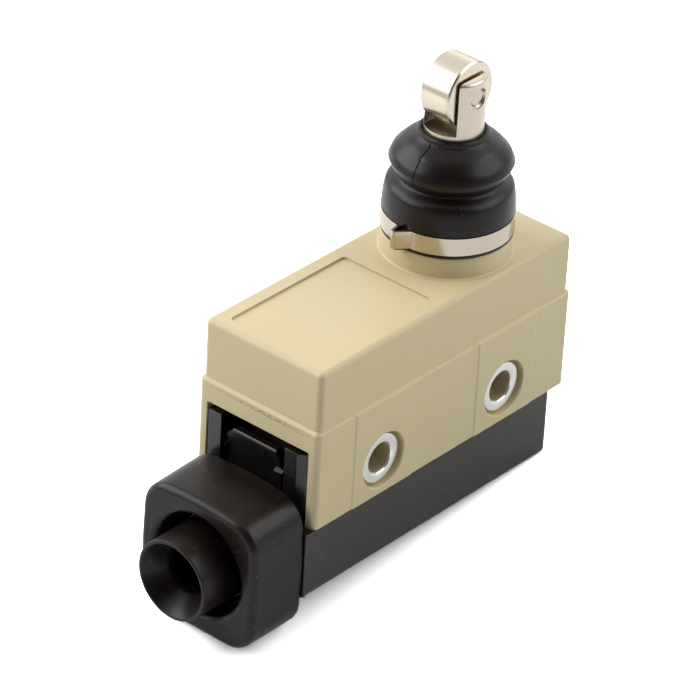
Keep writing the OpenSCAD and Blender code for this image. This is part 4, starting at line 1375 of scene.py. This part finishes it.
@dataclass
class TerminalCover:
    """Black cover with the latch in the case's window, and the rubber seal on its spout."""

    wall: float = 1.5
    floor: float = 1.45
    corner: float = 0.9
    edge: float = 0.8
    soft: float = 0.12
    seam: float = 0.06
    top: float = -5.1
    bottom: float = -15.45
    pillar_top: float = 5.5
    pillar_out: float = 8.83
    pillar_edge: float = 0.3
    left_pillar_in: float = 6.43
    right_pillar_in: float = -4.83
    slant_w: float = 1.9
    slant_in: float = 1.3
    tab_left: float = 6.35
    tab_right: float = -3.55
    tab_top: float = 4.0
    tab_in: float = 0.3
    tab_edge: float = 0.45
    hook_in: float = 0.85
    stem_in: float = 1.0
    hook_up: float = 1.2
    shoulders: tuple[Point2, Point2] = ((1.15, 1.85), (0.45, 1.3))
    ear_reach: float = 0.7
    ear_low: float = 0.9
    ear_high: float = 1.2
    tongue_half: float = 6.0
    tongue_t: float = 1.35
    tongue_rise: float = 2.0
    tongue_edge: float = 0.25
    cable_z: float = -10.4
    spout_r: float = 4.9
    spout_bore: float = 3.6
    spout_end: float = 33.0
    spout_edge: float = 0.3
    spout_gap: float = 0.2
    rib_r: float = 6.9
    rib_w: float = 1.3
    rib_behind: float = 1.6
    rib_edge: float = 0.1
    seal_corner: float = 4.5
    seal_front: float = 37.6
    seal_edge: float = 1.05
    rear_rise: float = 0.45
    rear_edge: float = 0.2
    arch_slope: float = 0.1
    arch_r: float = 50.0
    side_slope: float = 0.035
    side_r: float = 40.0
    recess_r: float = 7.7
    recess_deep: float = 4.5
    recess_root: float = 6.35
    recess_edge: float = 0.2
    recess_lip: float = 1.2
    nozzle_root: float = 6.0
    nozzle_mouth: float = 5.9
    nozzle_rim: float = 0.45
    rim_edge: float = 0.16
    throat_r: float = 3.3
    throat_past: float = 0.5
    funnel: float = 3.4
    funnel_edge: float = 1.2
    front: float = field(init=False)
    back: float = field(init=False)
    rear: float = field(init=False)
    half: float = field(init=False)
    seal_low: Vector = field(init=False)
    seal_high: Vector = field(init=False)
    cable: Point3 = field(init=False)

    def build(self, shop: Workshop) -> None:
        """Builds the cover and the seal and hands them over.

        Args:
            shop: Workshop that dresses the pieces.
        """
        high = node_box("terminal_cover")[1]
        self.front = node_box("case")[0].x
        self.back = self.front + self.wall
        self.rear, self.half = high.x, high.y
        self.seal_low, self.seal_high = node_box("cable_seal")
        self.cable = (0, 0, self.cable_z)
        shop.hand_over(self.cover(), "cover_plastic", "terminal_cover", body="cover")
        shop.hand_over(self.seal(), "black_rubber", "cable_seal", body="cover")

    def cover(self) -> Piece:
        """Makes the hollow cover with its pillars, latch tab, tongue and spout.

        Returns:
            The cover.
        """
        fore = self.seal_high.x + self.seam
        piece = block("cover_shell", (fore, -self.half, self.bottom), (self.rear, self.half, self.top))
        ease(piece, both(upright, at(X, self.rear)), self.corner, steps=6)
        ease(piece, both(upright, at(X, fore)), self.soft)
        ease(piece, at(Z, self.bottom), self.edge, steps=5)
        for part in (*self.pillars(), self.tab(), *self.ears(), self.tongue(), self.spout()):
            combine(piece, part, Join.FUSE)
        hollow_half = self.half - self.wall
        low = (self.back, -hollow_half, self.bottom + self.floor)
        hollow = block("hollow", low, (self.rear - self.wall, hollow_half, self.pillar_top + OVER))
        combine(piece, hollow, Join.CUT)
        bore = rod(self.spout_bore, -self.back - OVER, self.spout_end + OVER)
        combine(piece, turned("bore", bore, Turn.TO_CABLE, self.cable, SMALL_ROUND), Join.CUT)
        return piece

    def pillars(self) -> tuple[Piece, ...]:
        """Makes the plain left pillar and the right one with its slanted face.

        Returns:
            The two pillars.
        """
        front, back, out, root = self.front, self.back, self.pillar_out, self.top - OVER
        left = block("left_pillar", (front, self.left_pillar_in, root), (back, out, self.pillar_top))
        places = (
            (front, self.right_pillar_in), (front, self.slant_w - out), (front + self.slant_in, -out),
            (back, -out), (back, self.right_pillar_in),
        )
        right = prism("right_pillar", [(*place, root) for place in places], (0, 0, self.pillar_top - root))
        ease(left, both(upright, at(X, front), at(Y, out)), self.pillar_edge)
        for pillar in (left, right):
            ease(pillar, at(Z, self.pillar_top), self.soft)
        ease(right, both(upright, at(X, front)), self.soft)
        return left, right

    def tab(self) -> Piece:
        """Makes the latch tab, a hooked wedge with slanted shoulders.

        Returns:
            The tab.
        """
        tip, hook, stem = (self.front + depth for depth in (self.tab_in, self.hook_in, self.stem_in))
        root = self.top - OVER
        places = (
            (self.back, root), (stem, root), (stem, self.hook_up), (hook, self.hook_up), (tip, self.tab_top),
            (self.back, self.tab_top),
        )
        points = [(x, self.tab_left, z) for x, z in places]
        piece = prism("tab", points, (0, self.tab_right - self.tab_left, 0))
        sides = ((1, self.tab_left), (-1, self.tab_right))
        for (side, edge), (width, height) in zip(sides, self.shoulders):
            hold(piece)
            bpy.ops.object.mode_set(mode="EDIT")
            bpy.ops.mesh.select_all(action="SELECT")
            corner, slope = (0, edge, self.tab_top - height), (0, side * height, width)
            bpy.ops.mesh.bisect(plane_co=corner, plane_no=slope, use_fill=True, clear_outer=True)
            tidy_mesh()
        ease(piece, both(at(Z, self.tab_top), at(X, tip)), self.tab_edge)
        return piece

    def ears(self) -> tuple[Piece, ...]:
        """Makes the small sloped ear on each side of the latch tab.

        Returns:
            The two ears.
        """
        ears = []
        tip, hook, back = self.front + self.tab_in, self.front + self.hook_in, self.back
        places = ((tip, self.ear_low), (hook, self.ear_high), (back, self.ear_high), (back, self.ear_low))
        for side, edge in ((1, self.tab_left), (-1, self.tab_right)):
            root = edge - side * self.ear_reach
            ears.append(prism("ear", [(x, root, z) for x, z in places], (0, 2 * side * self.ear_reach, 0)))
        return tuple(ears)

    def tongue(self) -> Piece:
        """Makes the tongue that hooks into the case's rear.

        Returns:
            The tongue.
        """
        end = self.top + self.tongue_rise
        low = (self.rear - self.tongue_t, -self.tongue_half, self.top - OVER)
        piece = block("tongue", low, (self.rear, self.tongue_half, end))
        ease(piece, at(Z, end), self.tongue_edge)
        return piece

    def spout(self) -> Piece:
        """Makes the ribbed spout that carries the seal.

        Returns:
            The spout.
        """
        rib_end = self.spout_end - self.rib_behind
        rib_start = rib_end - self.rib_w
        root = self.spout_gap - self.back
        corners = [
            (0, root, 0),
            (self.spout_r, root, 0),
            (self.spout_r, rib_start, 0),
            (self.rib_r, rib_start, self.rib_edge),
            (self.rib_r, rib_end, self.spout_edge),
            (self.spout_r, rib_end, 0),
            (self.spout_r, self.spout_end, self.spout_edge),
            (0, self.spout_end, 0),
        ]
        return turned("spout", rounded(corners), Turn.TO_CABLE, self.cable, SMALL_ROUND)

    def seal(self) -> Piece:
        """Makes the pillow-shaped seal with its sunk funnel nozzle and the pocket for the spout.

        Returns:
            The seal.
        """
        piece = self.pillow()
        root = self.seal_front - self.recess_deep
        face = self.seal_front + FIT
        wide = self.recess_r + 2 * self.recess_lip
        corners = [
            (0, root, 0),
            (self.recess_root, root, self.recess_edge),
            (self.recess_r, face, self.recess_lip),
            (wide, face, 0),
            (wide, face + OVER, 0),
            (0, face + OVER, 0),
        ]
        recess = turned("recess", rounded(corners), Turn.TO_CABLE, self.cable, LARGE_ROUND)
        combine(piece, recess, Join.CUT)
        combine(piece, self.nozzle(root), Join.FUSE)
        combine(piece, self.pocket(root), Join.CUT)
        return piece

    def pillow(self) -> Piece:
        """Makes the seal's solid body, with an arched top, bulging sides and a raised rear.

        Returns:
            The body.
        """
        half, top, base = self.seal_high.y, self.seal_high.z, self.seal_low.z
        front, rear = -self.seal_front, self.seal_high.x
        apex = top + self.arch_r * (1 / math.cos(math.atan(self.arch_slope)) - 1)
        side = half - self.side_slope * half
        shoulder = apex - self.arch_slope * half
        middle = (top + base) / 2
        corners = [
            (0, apex, self.arch_r),
            (side, shoulder, self.seal_corner),
            (half, middle, self.side_r),
            (side, base, self.seal_corner),
            (-side, base, self.seal_corner),
            (-half, middle, self.side_r),
            (-side, shoulder, self.seal_corner),
        ]
        outline = rounded(corners, closed=True, steps=10)[:-1]
        piece = prism("seal", [(front, y, z) for y, z in outline], (rear - front, 0, 0))
        grow = 1 + self.rear_rise / (top - base)
        flare(piece, X, rear, (1, 1, grow), (rear, 0, base))
        ease(piece, at(X, front), self.seal_edge, steps=5)
        ease(piece, at(X, rear), self.rear_edge)
        return piece

    def nozzle(self, root: float) -> Piece:
        """Makes the tapered nozzle with a thin rim and a funnel inside.

        Args:
            root: Distance of the recess's root from the middle of the case.

        Returns:
            The nozzle.
        """
        mouth = -self.seal_low.x
        corners = [
            (self.throat_r, root - OVER, 0),
            (self.nozzle_root, root - OVER, 0),
            (self.nozzle_root, root, 0),
            (self.nozzle_mouth, mouth, self.rim_edge),
            (self.nozzle_mouth - self.nozzle_rim, mouth, self.rim_edge),
            (self.throat_r, mouth - self.funnel, self.funnel_edge),
        ]
        outline = rounded(corners, closed=True)
        return turned("nozzle", outline, Turn.TO_CABLE, self.cable, LARGE_ROUND)

    def pocket(self, root: float) -> Piece:
        """Makes the tool for the hollow that takes the spout and its rib, and for the throat.

        Args:
            root: Distance of the recess's root from the middle of the case.

        Returns:
            The tool.
        """
        start = -self.seal_high.x - OVER
        rib_end = self.spout_end - self.rib_behind + FIT
        rib_start = self.spout_end - self.rib_behind - self.rib_w - FIT
        spout_r, rib_r, end = self.spout_r + FIT, self.rib_r + FIT, self.spout_end + FIT
        past = root + self.throat_past
        outline = [
            (0, start), (spout_r, start), (spout_r, rib_start), (rib_r, rib_start), (rib_r, rib_end),
            (spout_r, rib_end), (spout_r, end), (self.throat_r, end), (self.throat_r, past), (0, past),
        ]
        return turned("pocket", outline, Turn.TO_CABLE, self.cable)


@dataclass(frozen=True)
class Lamp:
    """Oblong soft lamp that points at the switch, with its place and size in millimetres."""

    name: str
    place: Point3
    size: Point2
    watts: float

    def hang(self) -> None:
        """Adds the lamp to the scene."""
        data = bpy.data.lights.new(self.name, "AREA")
        data.shape = "RECTANGLE"
        data.size, data.size_y = (side * MM for side in self.size)
        data.energy = self.watts
        lamp = bpy.data.objects.new(self.name, data)
        bpy.context.scene.collection.objects.link(lamp)
        lamp.location = Vector(self.place) * MM
        lamp.rotation_euler = (-lamp.location).to_track_quat("-Z", "Y").to_euler()


@dataclass
class Studio:
    """Camera, floor and soft light."""

    camera_place: Point3 = (-429.781, -343.980, 349.346)
    camera_aim: Point3 = (-0.900, 5.807, 4.775)
    camera_roll: float = 3.345
    camera_near: float = 10.0
    lens: float = 245.36
    floor_size: float = 6000.0
    floor_white: float = 0.72
    floor_seen: float = 2.6
    floor_mirrored: float = 1.05
    sky_level: float = 0.06
    backdrop_level: float = 1.0
    room_level: float = 0.3
    room_side: Point3 = (-0.78, -0.62, 0.0)
    room_span: Point2 = (0.1, 0.85)
    ceiling_level: float = 0.12
    ceiling_span: Point2 = (0.25, 0.6)
    lamps: tuple[Lamp, ...] = (
        Lamp("overhead_softbox", (380, 330, 850), (2300, 2300), 15.5),
        Lamp("left_softbox", (-280, 420, 320), (650, 420), 3.65),
        Lamp("right_softbox", (300, -400, 400), (600, 400), 2.0),
    )

    def build(self) -> None:
        """Sets up the camera, the floor, the world and the lamps."""
        bpy.context.scene.view_settings.view_transform = "Standard"
        self.camera()
        self.floor()
        self.world()
        for lamp in self.lamps:
            lamp.hang()

    def camera(self) -> None:
        """Sets up the camera at the photograph's view."""
        data = bpy.data.cameras.new("camera")
        data.lens = self.lens
        data.clip_start = self.camera_near * MM
        camera = bpy.data.objects.new("camera", data)
        bpy.context.scene.collection.objects.link(camera)
        camera.location = Vector(self.camera_place) * MM
        look = (Vector(self.camera_aim) - Vector(self.camera_place)).to_track_quat("-Z", "Y")
        camera.rotation_euler = look.to_euler()
        camera.rotation_euler.rotate_axis("Z", math.radians(self.camera_roll))
        bpy.context.scene.camera = camera

    def floor(self) -> None:
        """Lays the floor under the two edges that the switch rests on, the seal's and the cover's."""
        seal_low, seal_high = node_box("cable_seal")
        cover_high = node_box("terminal_cover")[1]
        edge = TerminalCover.edge
        rise = TerminalCover.bottom + edge - seal_low.z
        run = cover_high.x - edge - seal_high.x
        lean = math.atan2(rise, run) - math.asin(edge / math.hypot(rise, run))
        clear_selection()
        bpy.ops.mesh.primitive_plane_add(size=self.floor_size * MM)
        floor = bpy.context.object
        floor.name = "floor"
        floor.rotation_euler = (0, -lean, 0)
        floor.location = Vector((seal_high.x, 0, seal_low.z)) * MM
        floor.data.materials.append(self.paper())

    def paper(self) -> Material:
        """Makes matt white paper, which the camera and reflections see brighter, as a lit backdrop.

        Returns:
            The material.
        """
        material = bpy.data.materials.new("white_paper")
        tree = empty_tree(material)
        ray = add_node(tree, Kind.LIGHT_PATH).outputs
        white = self.floor_white
        for kind, level in (("Is Camera Ray", self.floor_seen), ("Is Glossy Ray", self.floor_mirrored)):
            gain = {0: ray[kind], 1: level - self.floor_white, 2: white}
            white = add_node(tree, Kind.MATH, gain, operation="MULTIPLY_ADD")
        paper = add_node(tree, Kind.DIFFUSE, {"Color": white})
        add_node(tree, Kind.OUTPUT, {"Surface": paper})
        return material

    def world(self) -> None:
        """Makes a dim sky, which the camera sees as a white backdrop and gloss as a room with a ceiling."""
        world = bpy.data.worlds.new("studio")
        bpy.context.scene.world = world
        tree = empty_tree(world)
        ray = add_node(tree, Kind.LIGHT_PATH).outputs
        rays = {0: ray["Is Glossy Ray"], 1: ray["Is Transmission Ray"]}
        shiny = add_node(tree, Kind.MATH, rays, operation="MAXIMUM")
        heading = add_node(tree, Kind.COORDINATES).outputs["Generated"]
        facing = add_node(tree, Kind.VECTOR_MATH, {0: heading, 1: self.room_side}, operation="DOT_PRODUCT")
        height = add_node(tree, Kind.SPLIT_VECTOR, {0: heading}).outputs["Z"]
        fades = []
        for value, (start, end), first, last in (
            (facing.outputs["Value"], self.room_span, self.backdrop_level, self.room_level),
            (height, self.ceiling_span, 1.0, self.ceiling_level),
        ):
            fade = {"Value": value, "From Min": start, "From Max": end, "To Min": first, "To Max": last}
            fades.append(add_node(tree, Kind.RANGE, fade))
        mirror = add_node(tree, Kind.MATH, {0: fades[0], 1: fades[1]}, operation="MULTIPLY")
        unseen = add_node(tree, Kind.MIX, {SHARE: shiny, FIRST: self.sky_level, LAST: mirror})
        seen = {SHARE: ray["Is Camera Ray"], FIRST: unseen, LAST: self.backdrop_level}
        level = add_node(tree, Kind.MIX, seen)
        sky = add_node(tree, Kind.BACKGROUND, {"Strength": level})
        add_node(tree, Kind.WORLD_OUTPUT, {"Surface": sky})


def main() -> None:
    """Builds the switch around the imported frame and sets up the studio."""
    logging.basicConfig(level=logging.INFO, format="%(name)s: %(message)s")
    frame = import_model()
    shop = Workshop(frame)
    shop.mix_finishes()
    shop.dress_inside()
    # The return spring takes the whole stroke of 4 mm, the overtravel spring all but the pusher's 0.31 mm.
    springs = (
        Spring("return_spring", "case", wire_r=0.32, turns=4, give=4.0, held_at_top=False),
        Spring("overtravel_spring", "plunger", wire_r=0.28, turns=7, give=3.69, held_at_top=True),
    )
    for assembly in (Case(), Boot(), *springs, PlungerHead(), TerminalCover()):
        assembly.build(shop)
    Studio().build()
    log.info("sizes written")


if __name__ == "__main__":
    main()
